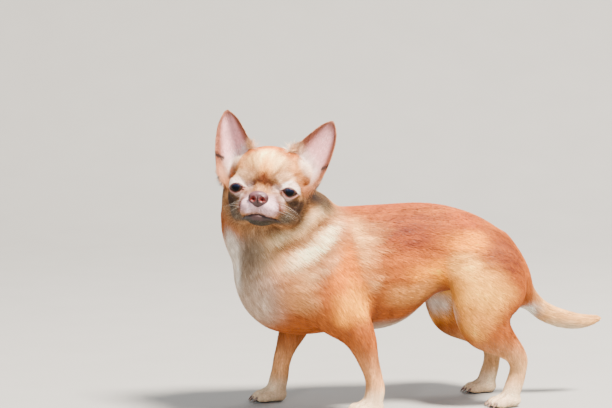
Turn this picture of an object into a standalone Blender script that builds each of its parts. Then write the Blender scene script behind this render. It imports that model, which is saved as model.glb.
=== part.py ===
"""A smooth-coated chihuahua dog, life size, standing with its head turned to its left.

The dog faces -Y, its left side is +X and the floor is z = 0.  Lengths in the tables are
millimetres; MM turns them into metres.  Each soft mass is a loft or an ellipsoid.  The masses
are fused into one clay body, which is then parted by thin cuts where a person would name parts.
"""

import math

import bmesh
import bpy
from mathutils import Matrix, Vector

MM = 0.001
GAP = 0.3 * MM

# Driving sizes of the whole dog.
SPINE_BEND_START = -62.0
SPINE_BEND = 0.0010

# Fineness of each fused mass: voxel size in mm, smoothing passes, triangles kept.
BODY_CLAY = (3.2, 5, 3800)
HEAD_CLAY = (1.5, 3, 1900)
PAW_CLAY = (1.3, 2, 260)

# Trunk stations: y, mid height, half height, half width, and how much wider it is above.
TRUNK = [
    (-188, 138, 22, 20, 0.00),
    (-178, 136, 41, 34, 0.02),
    (-156, 131, 54, 46, 0.04),
    (-125, 129, 59, 51, 0.08),
    (-90, 131, 59.5, 53, 0.10),
    (-45, 132, 60, 54, 0.08),
    (-20, 137, 56, 52, 0.04),
    (5, 147, 45.5, 46, 0.00),
    (30, 147, 40.5, 44, 0.00),
    (55, 138, 40, 43, 0.02),
    (79, 126, 36, 36, 0.04),
    (98, 113, 27, 25, 0.04),
    (107, 106, 14, 14, 0.00),
]

# Neck stations: x, y, z, half width, half depth.
NECK = [
    (0, -104, 128, 50, 58),
    (2, -130, 154, 49, 57),
    (4, -149, 180, 47, 53),
    (9, -157, 203, 39, 43),
    (18, -158, 222, 32, 34),
]
THROAT_TOP = 2

# Leg stations: x outward from the middle plane, y, z, half width, half depth.
FORELEG_LEFT = [
    (26, -92, 172, 17, 20),
    (36, -106, 146, 20, 29),
    (41, -111, 120, 20, 30),
    (45, -98, 98, 18, 27),
    (46, -83, 82, 15.5, 20),
    (46, -74, 66, 13, 15),
    (45.5, -69, 50, 10, 11),
    (45, -64.5, 38, 9.5, 9.5),
    (45, -62, 24, 9, 9),
    (45, -64, 12, 9, 9),
]
FORELEG_RIGHT = [
    (26, -96, 172, 17, 20),
    (36, -112, 146, 20, 29),
    (41, -120, 120, 20, 30),
    (45, -116, 100, 18, 27),
    (46, -112, 84, 15.5, 20),
    (46, -118, 66, 13, 15),
    (45.5, -125, 50, 10, 10.5),
    (45, -129, 37, 9.5, 9.5),
    (45, -131, 24, 9, 9),
    (45, -134, 12, 9, 9),
]
HINDLEG = [
    (20, 58, 148, 16, 24),
    (31, 55, 136, 22, 35),
    (41, 50, 116, 22, 40),
    (46, 45, 94, 19, 34),
    (47, 47, 78, 16, 27),
    (45, 60, 65, 13, 18),
    (43, 75, 52, 10, 12),
    (42, 81, 42, 9, 9.5),
    (41, 78, 27, 8.5, 8.5),
    (41, 73, 12, 8.5, 8.5),
]
HINDLEG_RIGHT_BACK = 5.0

# Tail stations: x, y, z, half width, half depth.
TAIL = [
    (0, 70, 158, 12, 13),
    (0, 85, 138, 13, 13),
    (0, 95, 116, 12.5, 12),
    (0, 105, 98, 12, 11.5),
    (0, 121, 83, 12, 11.5),
    (0, 143, 75, 11.5, 11),
    (0, 160, 72.5, 10, 9),
    (0, 174, 74, 7.5, 7),
    (0, 184, 76, 4, 4),
]

# The head's own place: the point between the eyes' level and the middle of the skull.
HEAD_PLACE = (44, -164.5, 211)
HEAD_YAW = 66.0
HEAD_PITCH = 6.0
HEAD_ROLL = 4.4

# Head masses: side, forward, up, then the half sizes in the same order.  Sides are doubled.
SKULL_MASSES = [
    (0, -9, 13.5, 34.5, 38, 27),
    (0, 3, 17, 27, 24, 20),
]
PAIRED_MASSES = [
    (22, 3, -7, 13.5, 23, 17),
    (17, 2, -21, 15, 24, 13),
    (11, 17, 11, 16, 11, 13),
    (11, 20, -1, 10, 9, 11),
    (9, 31, -17, 11, 15, 9.5),
    (18, 13, -15, 11, 15, 12),
]
MUZZLE_MASSES = [
    (0, 28, -12, 13, 17, 11),
    (0, 37, -12, 10, 10, 9),
    (0, 24, -25, 15, 17, 8.5),
    (0, 36, -25, 9, 7.5, 5.5),
]

EYE_PLACE = (22.6, 17.4, 0.0)
EYE_RADIUS = 9.2
EYE_TURN = 14.0
LID_THICKNESS = 1.5
LID_OPENING = (6.5, 9.0, 4.0)

NOSE_PLACE = (0, 43.5, -9.2)
NOSE_HALF = (8.4, 6.2, 6.8)
NOSTRIL_PLACE = (4.6, 49.0, -9.6)
NOSTRIL_HALF = (2.0, 4.0, 1.7)

MOUTH_FRONT = (0, 46, -21.5)
MOUTH_SLOPE = 12.0
JAW_BACK = 21.0

# Ear edges from base to tip: side, forward, up.
EAR_INNER = [(12, -6, 26), (17.4, 0, 38), (23, -4, 46.5), (29.5, -8, 56), (37, -11, 65), (46, -13, 71)]
EAR_OUTER = [(30, -4, 0), (44, 2, 5), (51, -1, 22), (53.5, -6, 40), (53, -10, 57), (47.5, -13, 70)]
EAR_CUP = [15, 20, 17, 12, 6.5, 1]
EAR_THICKNESS = 1.9
EAR_SPLAY = {"left": 7.0, "right": 1.0}
EAR_CUT = 41.5
EAR_CUT_SLOPE = 50.0

# Paw sizes: length, width, height at the knuckles, toe radius, claw length.
FOREPAW = (33, 25, 15, 5.6, 7.0)
HINDPAW = (32, 23, 14, 5.2, 6.5)
PAW_BALL = (0.44, 0.42, 0.55)
PAW_BALL_PLACE = (0.10, 0.42)
TOES = 4
TOE_FAN = 13.0
TOE_REACH = 0.50
TOE_STEP_BACK = 0.045
TOE_SPACING = 0.23
TOE_HALF = (0.72, 1.35, 1.0)
CLAW_LEAN = 112.0
CLAW_RADII = (1.5, 0.6)
CLAW_PLACE = (1.25, 0.78)
BALL_SEGMENTS = 16

# Where the nodes part: heights, places and leans, for the left side and then the right.
FORE_ANKLE = 31.0
HIND_ANKLE = 33.0
FOREPAW_TURN = (6.0, -6.0)
HINDPAW_TURN = (4.0, -4.0)
FORE_FOOT_Y = (-64.0, -128.0)
HIND_FOOT_Y = (78.0, 82.0)
FOOT_SIDE = 45.0
FOOT_BOX = (70, 70, 60)
ELBOW_Y = (-79.0, -115.0)
ELBOW_LEAN = (0.35, -0.30)
ELBOW_SIDE = 50.0
ELBOW_HEIGHT = 76.0
FOREARM_BOX = (48, 60, 60)
SHANK_PLACE = (47.0, 52.0, 79.0)
SHANK_LEAN = 0.15
SHANK_BOX = (50, 110, 60)
SHOULDER_Y = (-101.0, -114.0)
SHOULDER_SIDE = 37.0
SHOULDER_HEIGHT = 118.0
THIGH_PLACE = (33.0, 52.0, 114.0)
LIMB_BOX = (85, 85, 50)
TAIL_TIP_PLACE = (0, 146, 75)
TAIL_TIP_BOX = (60, 60, 60)
TAIL_PLACE = (0, 110, 101.5)
TAIL_LEAN = (0, 0.62, -0.78)
TAIL_BOX = (50, 80, 60)
NECK_PLACE = (0, -118, 155)
NECK_LEAN = (0.05, -0.60, 0.80)
NECK_BOX = (160, 200, 120)
CHEST_PLACE = (0, -42, 130)
CHEST_BOX = (160, 200, 200)
HEAD_CUT_LEAN = (0.72, 0.69)
HEAD_CUT_PLACE = (0, -23, -14)
HEAD_BOX = (125, 125, 120)
EAR_BOX = (110, 110, 80)
JAW_BOX = (60, 36, 30)

COAT_RED = (0.62, 0.34, 0.17, 1.0)
COAT_TAN = (0.66, 0.42, 0.24, 1.0)
COAT_CREAM = (0.80, 0.64, 0.47, 1.0)
EAR_PINK = (0.74, 0.50, 0.42, 1.0)
NOSE_PINK = (0.42, 0.20, 0.17, 1.0)
EYE_BROWN = (0.03, 0.015, 0.01, 1.0)


def clear_scene():
    for ob in list(bpy.data.objects):
        bpy.data.objects.remove(ob, do_unlink=True)


def make_collection(name):
    collection = bpy.data.collections.new(name)
    bpy.context.scene.collection.children.link(collection)
    return collection


def make_material(name, colour, roughness):
    material = bpy.data.materials.new(name)
    material.use_nodes = True
    shader = material.node_tree.nodes["Principled BSDF"]
    shader.inputs["Base Color"].default_value = colour
    shader.inputs["Roughness"].default_value = roughness
    shader.inputs["Metallic"].default_value = 0.0
    return material


def head_matrix():
    turn = Matrix.Rotation(math.radians(HEAD_YAW), 4, "Z")
    turn = turn @ Matrix.Rotation(math.radians(-HEAD_PITCH), 4, "X")
    turn = turn @ Matrix.Rotation(math.radians(HEAD_ROLL), 4, "Y")
    return Matrix.Translation(Vector(HEAD_PLACE) * MM) @ turn


def head_point(side, forward, up):
    return HEAD @ (Vector((side, -forward, up)) * MM)


def through(rows, steps):
    """Rows on a smooth curve that passes through the given rows."""
    result = []
    last = len(rows) - 1
    for i in range(last):
        a = rows[max(i - 1, 0)]
        b = rows[i]
        c = rows[i + 1]
        d = rows[min(i + 2, last)]
        for k in range(steps):
            t = k / steps
            result.append(
                [
                    0.5 * (2 * q + (r - p) * t + (2 * p - 5 * q + 4 * r - s) * t * t
                           + (3 * q - p - 3 * r + s) * t ** 3)
                    for p, q, r, s in zip(a, b, c, d)
                ]
            )
    result.append(list(rows[last]))
    return result


def add_loft(bm, rows, sides=28, upright=False):
    """Fuse rings of (x, y, z, half width, half depth, wider above) into one closed tube."""
    centres = [Vector(row[:3]) * MM for row in rows]
    rings = []
    before = Vector((0, -1, 1))
    for i, row in enumerate(rows):
        ahead = centres[min(i + 1, len(rows) - 1)] - centres[max(i - 1, 0)]
        if upright:
            ahead = Vector((0, 1, 0))
        ahead.normalize()
        side = Vector((1, 0, 0))
        side = (side - ahead * side.dot(ahead)).normalized()
        depth = ahead.cross(side)
        if depth.dot(before) < 0:
            depth = -depth
        before = depth
        egg = row[5] if len(row) > 5 else 0.0
        ring = []
        for k in range(sides):
            angle = 2 * math.pi * k / sides
            across = row[3] * MM * math.cos(angle) * (1 + egg * math.sin(angle))
            along = row[4] * MM * math.sin(angle)
            ring.append(bm.verts.new(centres[i] + side * across + depth * along))
        rings.append(ring)
    for one, two in zip(rings, rings[1:]):
        for k in range(sides):
            n = (k + 1) % sides
            bm.faces.new((one[k], one[n], two[n], two[k]))
    bm.faces.new(rings[0])
    bm.faces.new(list(reversed(rings[-1])))


def add_ball(bm, frame, centre, half, segments=28):
    """An ellipsoid in a frame: centre and half sizes are in mm."""
    size = Matrix.Diagonal((half[0] * MM, half[1] * MM, half[2] * MM, 1))
    place = frame @ Matrix.Translation(Vector(centre) * MM) @ size
    bmesh.ops.create_uvsphere(
        bm, u_segments=segments, v_segments=segments // 2, radius=1, matrix=place
    )


def add_head_ball(bm, row):
    side, forward, up = row[:3]
    add_ball(bm, HEAD, (side, -forward, up), (row[3], row[4], row[5]))


def object_from(bm, name, collection):
    bmesh.ops.recalc_face_normals(bm, faces=bm.faces[:])
    mesh = bpy.data.meshes.new(name)
    bm.to_mesh(mesh)
    bm.free()
    ob = bpy.data.objects.new(name, mesh)
    collection.objects.link(ob)
    return ob


def apply_modifiers(ob):
    graph = bpy.context.evaluated_depsgraph_get()
    mesh = bpy.data.meshes.new_from_object(ob.evaluated_get(graph))
    ob.modifiers.clear()
    ob.data = mesh


def keep_largest(ob):
    """Remove every closed surface but the one with the most faces."""
    bm = bmesh.new()
    bm.from_mesh(ob.data)
    unseen = set(bm.faces)
    shells = []
    while unseen:
        start = unseen.pop()
        shell = [start]
        queue = [start]
        while queue:
            for edge in queue.pop().edges:
                for face in edge.link_faces:
                    if face in unseen:
                        unseen.remove(face)
                        shell.append(face)
                        queue.append(face)
        shells.append(shell)
    shells.sort(key=len)
    for shell in shells[:-1]:
        bmesh.ops.delete(bm, geom=shell, context="FACES")
    bmesh.ops.dissolve_degenerate(bm, dist=0.02 * MM, edges=bm.edges[:])
    bmesh.ops.triangulate(bm, faces=bm.faces[:])
    bm.to_mesh(ob.data)
    bm.free()


def fuse_clay(ob, voxel, passes, triangles):
    """Fuse overlapping masses into one soft surface with the wanted number of triangles."""
    remesh = ob.modifiers.new("fuse", "REMESH")
    remesh.mode = "VOXEL"
    remesh.voxel_size = voxel * MM
    soften = ob.modifiers.new("soften", "SMOOTH")
    soften.factor = 0.5
    soften.iterations = passes
    apply_modifiers(ob)
    lighten = ob.modifiers.new("lighten", "DECIMATE")
    lighten.ratio = min(1.0, triangles / (2 * len(ob.data.polygons)))
    apply_modifiers(ob)
    keep_largest(ob)


def boolean(ob, other, operation):
    cut = ob.modifiers.new("cut", "BOOLEAN")
    cut.operation = operation
    cut.object = other
    cut.solver = "EXACT"
    apply_modifiers(ob)


def box_cutter(point, direction, sizes, grow=0.0):
    """A box that starts at a plane through the point and runs along the direction."""
    turn = Vector(direction).to_track_quat("Z", "Y").to_matrix().to_4x4()
    start = Matrix.Translation(Vector(point) * MM) @ turn
    bm = bmesh.new()
    width, depth, length = (size * MM for size in sizes)
    grown = Matrix.Diagonal((width + 2 * grow, depth + 2 * grow, length + 2 * grow, 1))
    place = start @ Matrix.Translation((0, 0, length / 2)) @ grown
    bmesh.ops.create_cube(bm, size=1, matrix=place)
    ob = object_from(bm, "cutter", CUTTERS)
    ob.hide_render = True
    ob.display_type = "WIRE"
    return ob


def ball_cutter(frame, centre, half):
    bm = bmesh.new()
    add_ball(bm, frame, centre, half, segments=BALL_SEGMENTS)
    ob = object_from(bm, "cutter", CUTTERS)
    ob.hide_render = True
    ob.display_type = "WIRE"
    return ob


def use_cutter(ob, cutter, operation):
    boolean(ob, cutter, operation)
    bpy.data.objects.remove(cutter, do_unlink=True)


def take(whole, name, point, direction, sizes):
    """Part a piece off the whole, leaving a thin gap between them."""
    piece = whole.copy()
    piece.data = whole.data.copy()
    piece.name = name
    DOG.objects.link(piece)
    use_cutter(piece, box_cutter(point, direction, sizes), "INTERSECT")
    use_cutter(whole, box_cutter(point, direction, sizes, GAP), "DIFFERENCE")
    keep_largest(piece)
    keep_largest(whole)
    return piece


def finish(ob, material):
    ob.data.materials.clear()
    ob.data.materials.append(material)
    ob.data.shade_smooth()
    ob.data.set_sharp_from_angle(angle=math.radians(50))


def leg_rows(rows, side):
    return [[side * row[0], *row[1:]] for row in through(rows, 4)]


def spine_shift(y):
    """The front of the trunk bends towards the dog's left."""
    ahead = max(0.0, SPINE_BEND_START - y)
    return SPINE_BEND * ahead * ahead


def trunk_rows():
    rows = []
    for y, z, height, width, egg in through(TRUNK, 4):
        rows.append([spine_shift(y), y, z, width, height, egg])
    return rows


def hind_rows(side):
    back = HINDLEG_RIGHT_BACK if side < 0 else 0.0
    rows = []
    for row in leg_rows(HINDLEG, side):
        low = 1.0 - min(row[2], 120.0) / 120.0
        rows.append([row[0], row[1] + back * low, *row[2:]])
    return rows


def body_clay():
    bm = bmesh.new()
    add_loft(bm, trunk_rows(), sides=40, upright=True)
    add_loft(bm, through(NECK, 4), sides=36)
    add_loft(bm, leg_rows(FORELEG_LEFT, 1))
    add_loft(bm, leg_rows(FORELEG_RIGHT, -1))
    add_loft(bm, hind_rows(1))
    add_loft(bm, hind_rows(-1))
    add_loft(bm, through(TAIL, 4))
    body = object_from(bm, "loin", DOG)
    fuse_clay(body, *BODY_CLAY)
    return body


def eye_frame(side):
    """The eye's own axes: -Y looks out through the lids."""
    x, forward, up = EYE_PLACE
    turn = Matrix.Rotation(math.radians(side * EYE_TURN), 4, "Z")
    return HEAD @ Matrix.Translation(Vector((side * x, -forward, up)) * MM) @ turn


def head_clay():
    bm = bmesh.new()
    for row in SKULL_MASSES + MUZZLE_MASSES:
        add_head_ball(bm, row)
    for side in (-1, 1):
        for row in PAIRED_MASSES:
            add_head_ball(bm, (side * row[0], *row[1:]))
        lid = EYE_RADIUS + LID_THICKNESS
        add_ball(bm, eye_frame(side), (0, 0, 0), (lid, lid, lid))
    add_loft(bm, through(NECK[THROAT_TOP:], 4), sides=36)
    head = object_from(bm, "head", DOG)
    fuse_clay(head, *HEAD_CLAY)
    return head


def ear_splay(side):
    """Each ear leans out about its own base."""
    angle = EAR_SPLAY["left" if side > 0 else "right"]
    base = Vector((side * 31, 8, 22)) * MM
    turn = Matrix.Rotation(math.radians(side * angle), 4, "Y")
    return Matrix.Translation(base) @ turn @ Matrix.Translation(-base)


def ear_shell(side):
    """A leaf of even thickness, cupped backwards between its two edges."""
    inner = through(EAR_INNER, 3)
    outer = through(EAR_OUTER, 3)
    cups = through([[cup] for cup in EAR_CUP], 3)
    across = 10
    frame = HEAD @ ear_splay(side)
    bm = bmesh.new()
    grid = []
    for one, two, (cup,) in zip(inner, outer, cups):
        line = []
        for k in range(across + 1):
            t = k / across
            point = Vector(one).lerp(Vector(two), t)
            back = cup * (1 - (2 * t - 1) ** 2) ** 0.75
            place = Vector((side * point.x, -(point.y - back), point.z)) * MM
            line.append(bm.verts.new(frame @ place))
        grid.append(line)
    for low, high in zip(grid, grid[1:]):
        for k in range(across):
            bm.faces.new((low[k], low[k + 1], high[k + 1], high[k]))
    ear = object_from(bm, "ear", DOG)
    thick = ear.modifiers.new("thick", "SOLIDIFY")
    thick.thickness = EAR_THICKNESS * MM
    thick.offset = 0.0
    apply_modifiers(ear)
    return ear


def take_ear(head, side):
    """The ear is parted from the skull along the slope of its base."""
    name = "ear_left" if side > 0 else "ear_right"
    shell = ear_shell(side)
    boolean(head, shell, "UNION")
    bpy.data.objects.remove(shell, do_unlink=True)
    slope = math.radians(EAR_CUT_SLOPE)
    normal = Vector((side * math.sin(slope), 0, math.cos(slope)))
    point = HEAD @ ((normal * EAR_CUT + Vector((0, 8, 0))) * MM) / MM
    direction = HEAD.to_3x3() @ normal
    return take(head, name, point, direction, EAR_BOX)


def make_eye(head, side):
    name = "eye_left" if side > 0 else "eye_right"
    frame = eye_frame(side)
    wide = EYE_RADIUS + GAP / MM
    use_cutter(head, ball_cutter(frame, (0, 0, 0), (wide, wide, wide)), "DIFFERENCE")
    opening = ball_cutter(frame, (0, -EYE_RADIUS, 0), LID_OPENING)
    use_cutter(head, opening, "DIFFERENCE")
    keep_largest(head)
    bm = bmesh.new()
    add_ball(bm, frame, (0, 0, 0), (EYE_RADIUS, EYE_RADIUS, EYE_RADIUS), segments=BALL_SEGMENTS)
    return object_from(bm, name, DOG)


def make_nose(head):
    side, forward, up = NOSE_PLACE
    grown = tuple(half + GAP / MM for half in NOSE_HALF)
    use_cutter(head, ball_cutter(HEAD, (side, -forward, up), grown), "DIFFERENCE")
    keep_largest(head)
    bm = bmesh.new()
    add_ball(bm, HEAD, (side, -forward, up), NOSE_HALF, segments=BALL_SEGMENTS)
    nose = object_from(bm, "nose", DOG)
    for side in (-1, 1):
        place = (side * NOSTRIL_PLACE[0], -NOSTRIL_PLACE[1], NOSTRIL_PLACE[2])
        use_cutter(nose, ball_cutter(HEAD, place, NOSTRIL_HALF), "DIFFERENCE")
    keep_largest(nose)
    return nose


def take_jaw(head):
    """The lower lip and chin, parted along the line of the mouth."""
    slope = math.radians(MOUTH_SLOPE)
    middle = 0.5 * (MOUTH_FRONT[1] + JAW_BACK)
    up = MOUTH_FRONT[2] - (MOUTH_FRONT[1] - middle) * math.tan(slope)
    point = head_point(0, middle + 5, up + 5 * math.tan(slope)) / MM
    down = HEAD.to_3x3() @ Vector((0, -math.sin(slope), -math.cos(slope)))
    return take(head, "jaw", point, down, JAW_BOX)


def toe_frames(frame, length, width):
    """Where each toe stands, fanned about the middle of the paw."""
    frames = []
    for k in range(TOES):
        place = k - (TOES - 1) / 2
        angle = math.radians(place * TOE_FAN)
        reach = length * (TOE_REACH - TOE_STEP_BACK * abs(place) ** 1.5)
        x = place * width * TOE_SPACING + math.sin(angle) * 1.5
        toe = frame @ Matrix.Translation(Vector((x, -reach, 0)) * MM)
        frames.append(toe @ Matrix.Rotation(angle * 0.6, 4, "Z"))
    return frames


def make_paw(name, rows, heading, sizes, ankle):
    """A paw with four toes and their claws, flat on the floor."""
    length, width, height, toe, claw = sizes
    x, y = rows[-1][:2]
    frame = Matrix.Translation(Vector((x, y, 0)) * MM)
    frame = frame @ Matrix.Rotation(math.radians(heading), 4, "Z")
    bm = bmesh.new()
    add_loft(bm, [row for row in rows if row[2] < ankle + 14])
    half = (width * PAW_BALL[0], length * PAW_BALL[1], height * PAW_BALL[2])
    add_ball(bm, frame, (0, -length * PAW_BALL_PLACE[0], height * PAW_BALL_PLACE[1]), half)
    toes = toe_frames(frame, length, width)
    for toe_frame in toes:
        add_ball(bm, toe_frame, (0, 0, toe * 0.85), [toe * part for part in TOE_HALF], segments=20)
    paw = object_from(bm, name, DOG)
    fuse_clay(paw, *PAW_CLAY)
    for toe_frame in toes:
        add_claw(paw, toe_frame, toe, claw)
    use_cutter(paw, box_cutter((x, y, 0), (0, 0, 1), (120, 120, ankle - GAP / MM)), "INTERSECT")
    keep_largest(paw)
    return paw


def add_claw(paw, toe_frame, toe, claw):
    """A short tapered claw that points forward and down."""
    bm = bmesh.new()
    lean = Matrix.Rotation(math.radians(CLAW_LEAN), 4, "X")
    start = Vector((0, -toe * CLAW_PLACE[0], toe * CLAW_PLACE[1])) * MM
    place = toe_frame @ Matrix.Translation(start) @ lean
    wide, narrow = CLAW_RADII
    bmesh.ops.create_cone(
        bm, cap_ends=True, segments=8, radius1=wide * MM, radius2=narrow * MM, depth=claw * MM, matrix=place
    )
    cone = object_from(bm, "claw", CUTTERS)
    cone.hide_render = True
    use_cutter(paw, cone, "UNION")


def add_feet():
    make_paw("forepaw_left", leg_rows(FORELEG_LEFT, 1), FOREPAW_TURN[0], FOREPAW, FORE_ANKLE)
    make_paw("forepaw_right", leg_rows(FORELEG_RIGHT, -1), FOREPAW_TURN[1], FOREPAW, FORE_ANKLE)
    make_paw("hindpaw_left", hind_rows(1), HINDPAW_TURN[0], HINDPAW, HIND_ANKLE)
    make_paw("hindpaw_right", hind_rows(-1), HINDPAW_TURN[1], HINDPAW, HIND_ANKLE)


def clear_feet(body, i, side):
    """Make room on the body for the paws, which are made apart."""
    for y, ankle in ((FORE_FOOT_Y[i], FORE_ANKLE), (HIND_FOOT_Y[i], HIND_ANKLE)):
        foot_box = box_cutter((side * FOOT_SIDE, y, ankle), (0, 0, -1), FOOT_BOX)
        use_cutter(body, foot_box, "DIFFERENCE")
    keep_largest(body)


def take_limbs(body, name, i, side):
    """The forearm, the shank, the shoulder and the thigh of one side."""
    forearm = (side * ELBOW_SIDE, ELBOW_Y[i], ELBOW_HEIGHT)
    take(body, "forearm_" + name, forearm, (0, ELBOW_LEAN[i], -1), FOREARM_BOX)
    x, y, z = SHANK_PLACE
    take(body, "shank_" + name, (side * x, y, z), (0, SHANK_LEAN, -1), SHANK_BOX)
    outward = (side, 0, 0)
    x = side * SHOULDER_SIDE + spine_shift(SHOULDER_Y[i])
    take(body, "shoulder_" + name, (x, SHOULDER_Y[i], SHOULDER_HEIGHT), outward, LIMB_BOX)
    x, y, z = THIGH_PLACE
    take(body, "thigh_" + name, (side * x, y, z), outward, LIMB_BOX)


def cut_body(body):
    """Part the body: head end first, then the limbs, then the tail and the trunk."""
    use_cutter(body, head_cut(GAP), "DIFFERENCE")
    keep_largest(body)
    for i, (name, side) in enumerate((("left", 1), ("right", -1))):
        clear_feet(body, i, side)
        take_limbs(body, name, i, side)
    take(body, "tail_tip", TAIL_TIP_PLACE, (0, 1, 0), TAIL_TIP_BOX)
    take(body, "tail", TAIL_PLACE, TAIL_LEAN, TAIL_BOX)
    take(body, "neck", NECK_PLACE, NECK_LEAN, NECK_BOX)
    take(body, "chest", CHEST_PLACE, (0, -1, 0), CHEST_BOX)


def head_cut(grow):
    """The box that holds the head: its near face runs from the nape to the throat."""
    forward, up = HEAD_CUT_LEAN
    normal = HEAD.to_3x3() @ Vector((0, -forward, up))
    return box_cutter(head_point(*HEAD_CUT_PLACE) / MM, normal, HEAD_BOX, grow)


def build():
    head = head_clay()
    use_cutter(head, head_cut(0.0), "INTERSECT")
    keep_largest(head)
    for side in (-1, 1):
        make_eye(head, side)
    make_nose(head)
    take_jaw(head)
    for side in (-1, 1):
        take_ear(head, side)
    add_feet()
    cut_body(body_clay())


def stand_on_origin():
    """Put the middle of the dog's box over the origin, with its soles on the floor."""
    corners = [Vector(corner) for ob in DOG.objects for corner in ob.bound_box]
    middle_x = (min(c.x for c in corners) + max(c.x for c in corners)) / 2
    middle_y = (min(c.y for c in corners) + max(c.y for c in corners)) / 2
    shift = Matrix.Translation((-middle_x, -middle_y, 0))
    for ob in DOG.objects:
        ob.data.transform(shift)
    return shift.translation


def paint():
    coat = make_material("coat_red", COAT_RED, 0.75)
    tan = make_material("coat_tan", COAT_TAN, 0.75)
    cream = make_material("coat_cream", COAT_CREAM, 0.75)
    ear = make_material("ear_skin", EAR_PINK, 0.6)
    nose = make_material("nose_leather", NOSE_PINK, 0.4)
    eye = make_material("eye_dark", EYE_BROWN, 0.05)
    by_start = {"ear": ear, "nose": nose, "eye": eye, "head": tan, "jaw": cream, "neck": cream}
    for ob in DOG.objects:
        start = ob.name.split("_")[0]
        paws = start in ("forepaw", "hindpaw")
        finish(ob, cream if paws else by_start.get(start, coat))


clear_scene()
DOG = make_collection("chihuahua")
CUTTERS = make_collection("cutters")
HEAD = head_matrix()
build()
SHIFT = stand_on_origin()
paint()
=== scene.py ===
# %% [markdown]
# # A smooth-coated chihuahua, standing with its head turned
# The model is a still, life-size dog such as a museum shows.  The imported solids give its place,
# size and outline.  This script dresses them: one seamless skin, eyes, nose leather, lips, claws
# and a coat of a quarter of a million fine tufts that lie along the body.

import math

import bpy
import numpy as np
from mathutils import Matrix, Vector
from mathutils.bvhtree import BVHTree
from mathutils.kdtree import KDTree


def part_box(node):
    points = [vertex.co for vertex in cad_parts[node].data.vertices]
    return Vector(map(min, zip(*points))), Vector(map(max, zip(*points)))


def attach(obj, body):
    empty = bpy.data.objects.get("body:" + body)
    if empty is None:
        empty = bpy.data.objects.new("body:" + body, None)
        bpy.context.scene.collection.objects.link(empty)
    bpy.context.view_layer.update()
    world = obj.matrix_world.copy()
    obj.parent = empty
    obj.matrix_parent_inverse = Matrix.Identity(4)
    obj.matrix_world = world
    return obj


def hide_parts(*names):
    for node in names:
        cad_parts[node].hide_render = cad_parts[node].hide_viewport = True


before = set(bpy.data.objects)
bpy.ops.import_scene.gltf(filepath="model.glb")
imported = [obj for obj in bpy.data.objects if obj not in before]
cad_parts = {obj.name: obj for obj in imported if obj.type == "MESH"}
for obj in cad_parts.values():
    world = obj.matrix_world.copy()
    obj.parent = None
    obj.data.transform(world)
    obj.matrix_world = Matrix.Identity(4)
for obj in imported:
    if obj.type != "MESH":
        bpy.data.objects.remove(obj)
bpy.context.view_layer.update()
MM = 0.001
RANDOM = np.random.default_rng(11)
print("solids:", sorted(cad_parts))

# %% [markdown]
# ## Two rulers
# Everything on the trunk and legs is measured from the dog's middle plane, its floor and the line
# behind its elbows.  Everything on the head is measured in the head's own frame, because the head
# is turned, tipped up a little and rolled.  Both rulers are read from the solids, in millimetres.

# %% The body's and the head's rulers
ELBOW_LINE = -42.0
EYE_FORWARD = 17.4
NOSE_FORWARD = 43.5
NOSE_DROP = 9.2


def middle(node):
    low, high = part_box(node)
    return (Vector(low) + Vector(high)) / 2


BODY_ORIGIN = np.array([middle("tail_tip").x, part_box("chest")[1][1] - ELBOW_LINE * MM, 0.0])
eye_left, eye_right = middle("eye_left"), middle("eye_right")
across = (eye_left - eye_right).normalized()
to_nose = middle("nose") - (eye_left + eye_right) / 2
to_nose -= across * across.dot(to_nose)
dip = math.atan2(NOSE_DROP, NOSE_FORWARD - EYE_FORWARD)
forward = (Matrix.Rotation(-dip, 3, across) @ to_nose).normalized()
HEAD_AXES = np.array([across, forward, forward.cross(across)])
HEAD_ORIGIN = np.array((eye_left + eye_right) / 2 - forward * EYE_FORWARD * MM)


def to_body(points):
    return (points - BODY_ORIGIN) / MM


def from_body(points):
    return np.asarray(points) * MM + BODY_ORIGIN


def to_head(points):
    return (points - HEAD_ORIGIN) @ HEAD_AXES.T / MM


def from_head(points):
    return np.asarray(points) * MM @ HEAD_AXES + HEAD_ORIGIN


print("head stands at", HEAD_ORIGIN.round(4), "facing", HEAD_AXES[1].round(3))

# %% [markdown]
# ## Small helpers
# A joined mesh made from arrays is the quickest way to thousands of like pieces.  What is done
# by hand in edit mode, or with a modifier, is here a call of the same operator.

# %% Helpers for meshes
def mesh_piece(name, points, faces):
    """A mesh object from arrays: points in metres, faces as rows of equal length."""
    mesh = bpy.data.meshes.new(name)
    faces = np.asarray(faces, dtype=np.int32)
    rows, corners = faces.shape
    mesh.vertices.add(len(points))
    mesh.vertices.foreach_set("co", np.asarray(points, dtype=np.float32).ravel())
    mesh.loops.add(rows * corners)
    mesh.loops.foreach_set("vertex_index", faces.ravel())
    mesh.polygons.add(rows)
    mesh.polygons.foreach_set("loop_start", np.arange(rows, dtype=np.int32) * corners)
    mesh.polygons.foreach_set("loop_total", np.full(rows, corners, dtype=np.int32))
    mesh.polygons.foreach_set("use_smooth", np.ones(rows, dtype=bool))
    mesh.update(calc_edges=True)
    piece = bpy.data.objects.new(name, mesh)
    bpy.context.scene.collection.objects.link(piece)
    return piece


def read_rows(collection, name, width, kind=np.float32):
    """One value of every item in a mesh collection, as rows of the given width."""
    values = np.empty(len(collection) * width, dtype=kind)
    collection.foreach_get(name, values)
    return values.reshape(-1, width)


def points_of(piece):
    return read_rows(piece.data.vertices, "co", 3).astype(float)


def normals_of(piece):
    return read_rows(piece.data.vertex_normals, "vector", 3).astype(float)


def edges_of(piece):
    return read_rows(piece.data.edges, "vertices", 2, np.int32)


def triangles_of(piece):
    piece.data.calc_loop_triangles()
    return read_rows(piece.data.loop_triangles, "vertices", 3, np.int32)


def put_points(piece, points):
    piece.data.vertices.foreach_set("co", points.astype(np.float32).ravel())
    piece.data.update()


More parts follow.
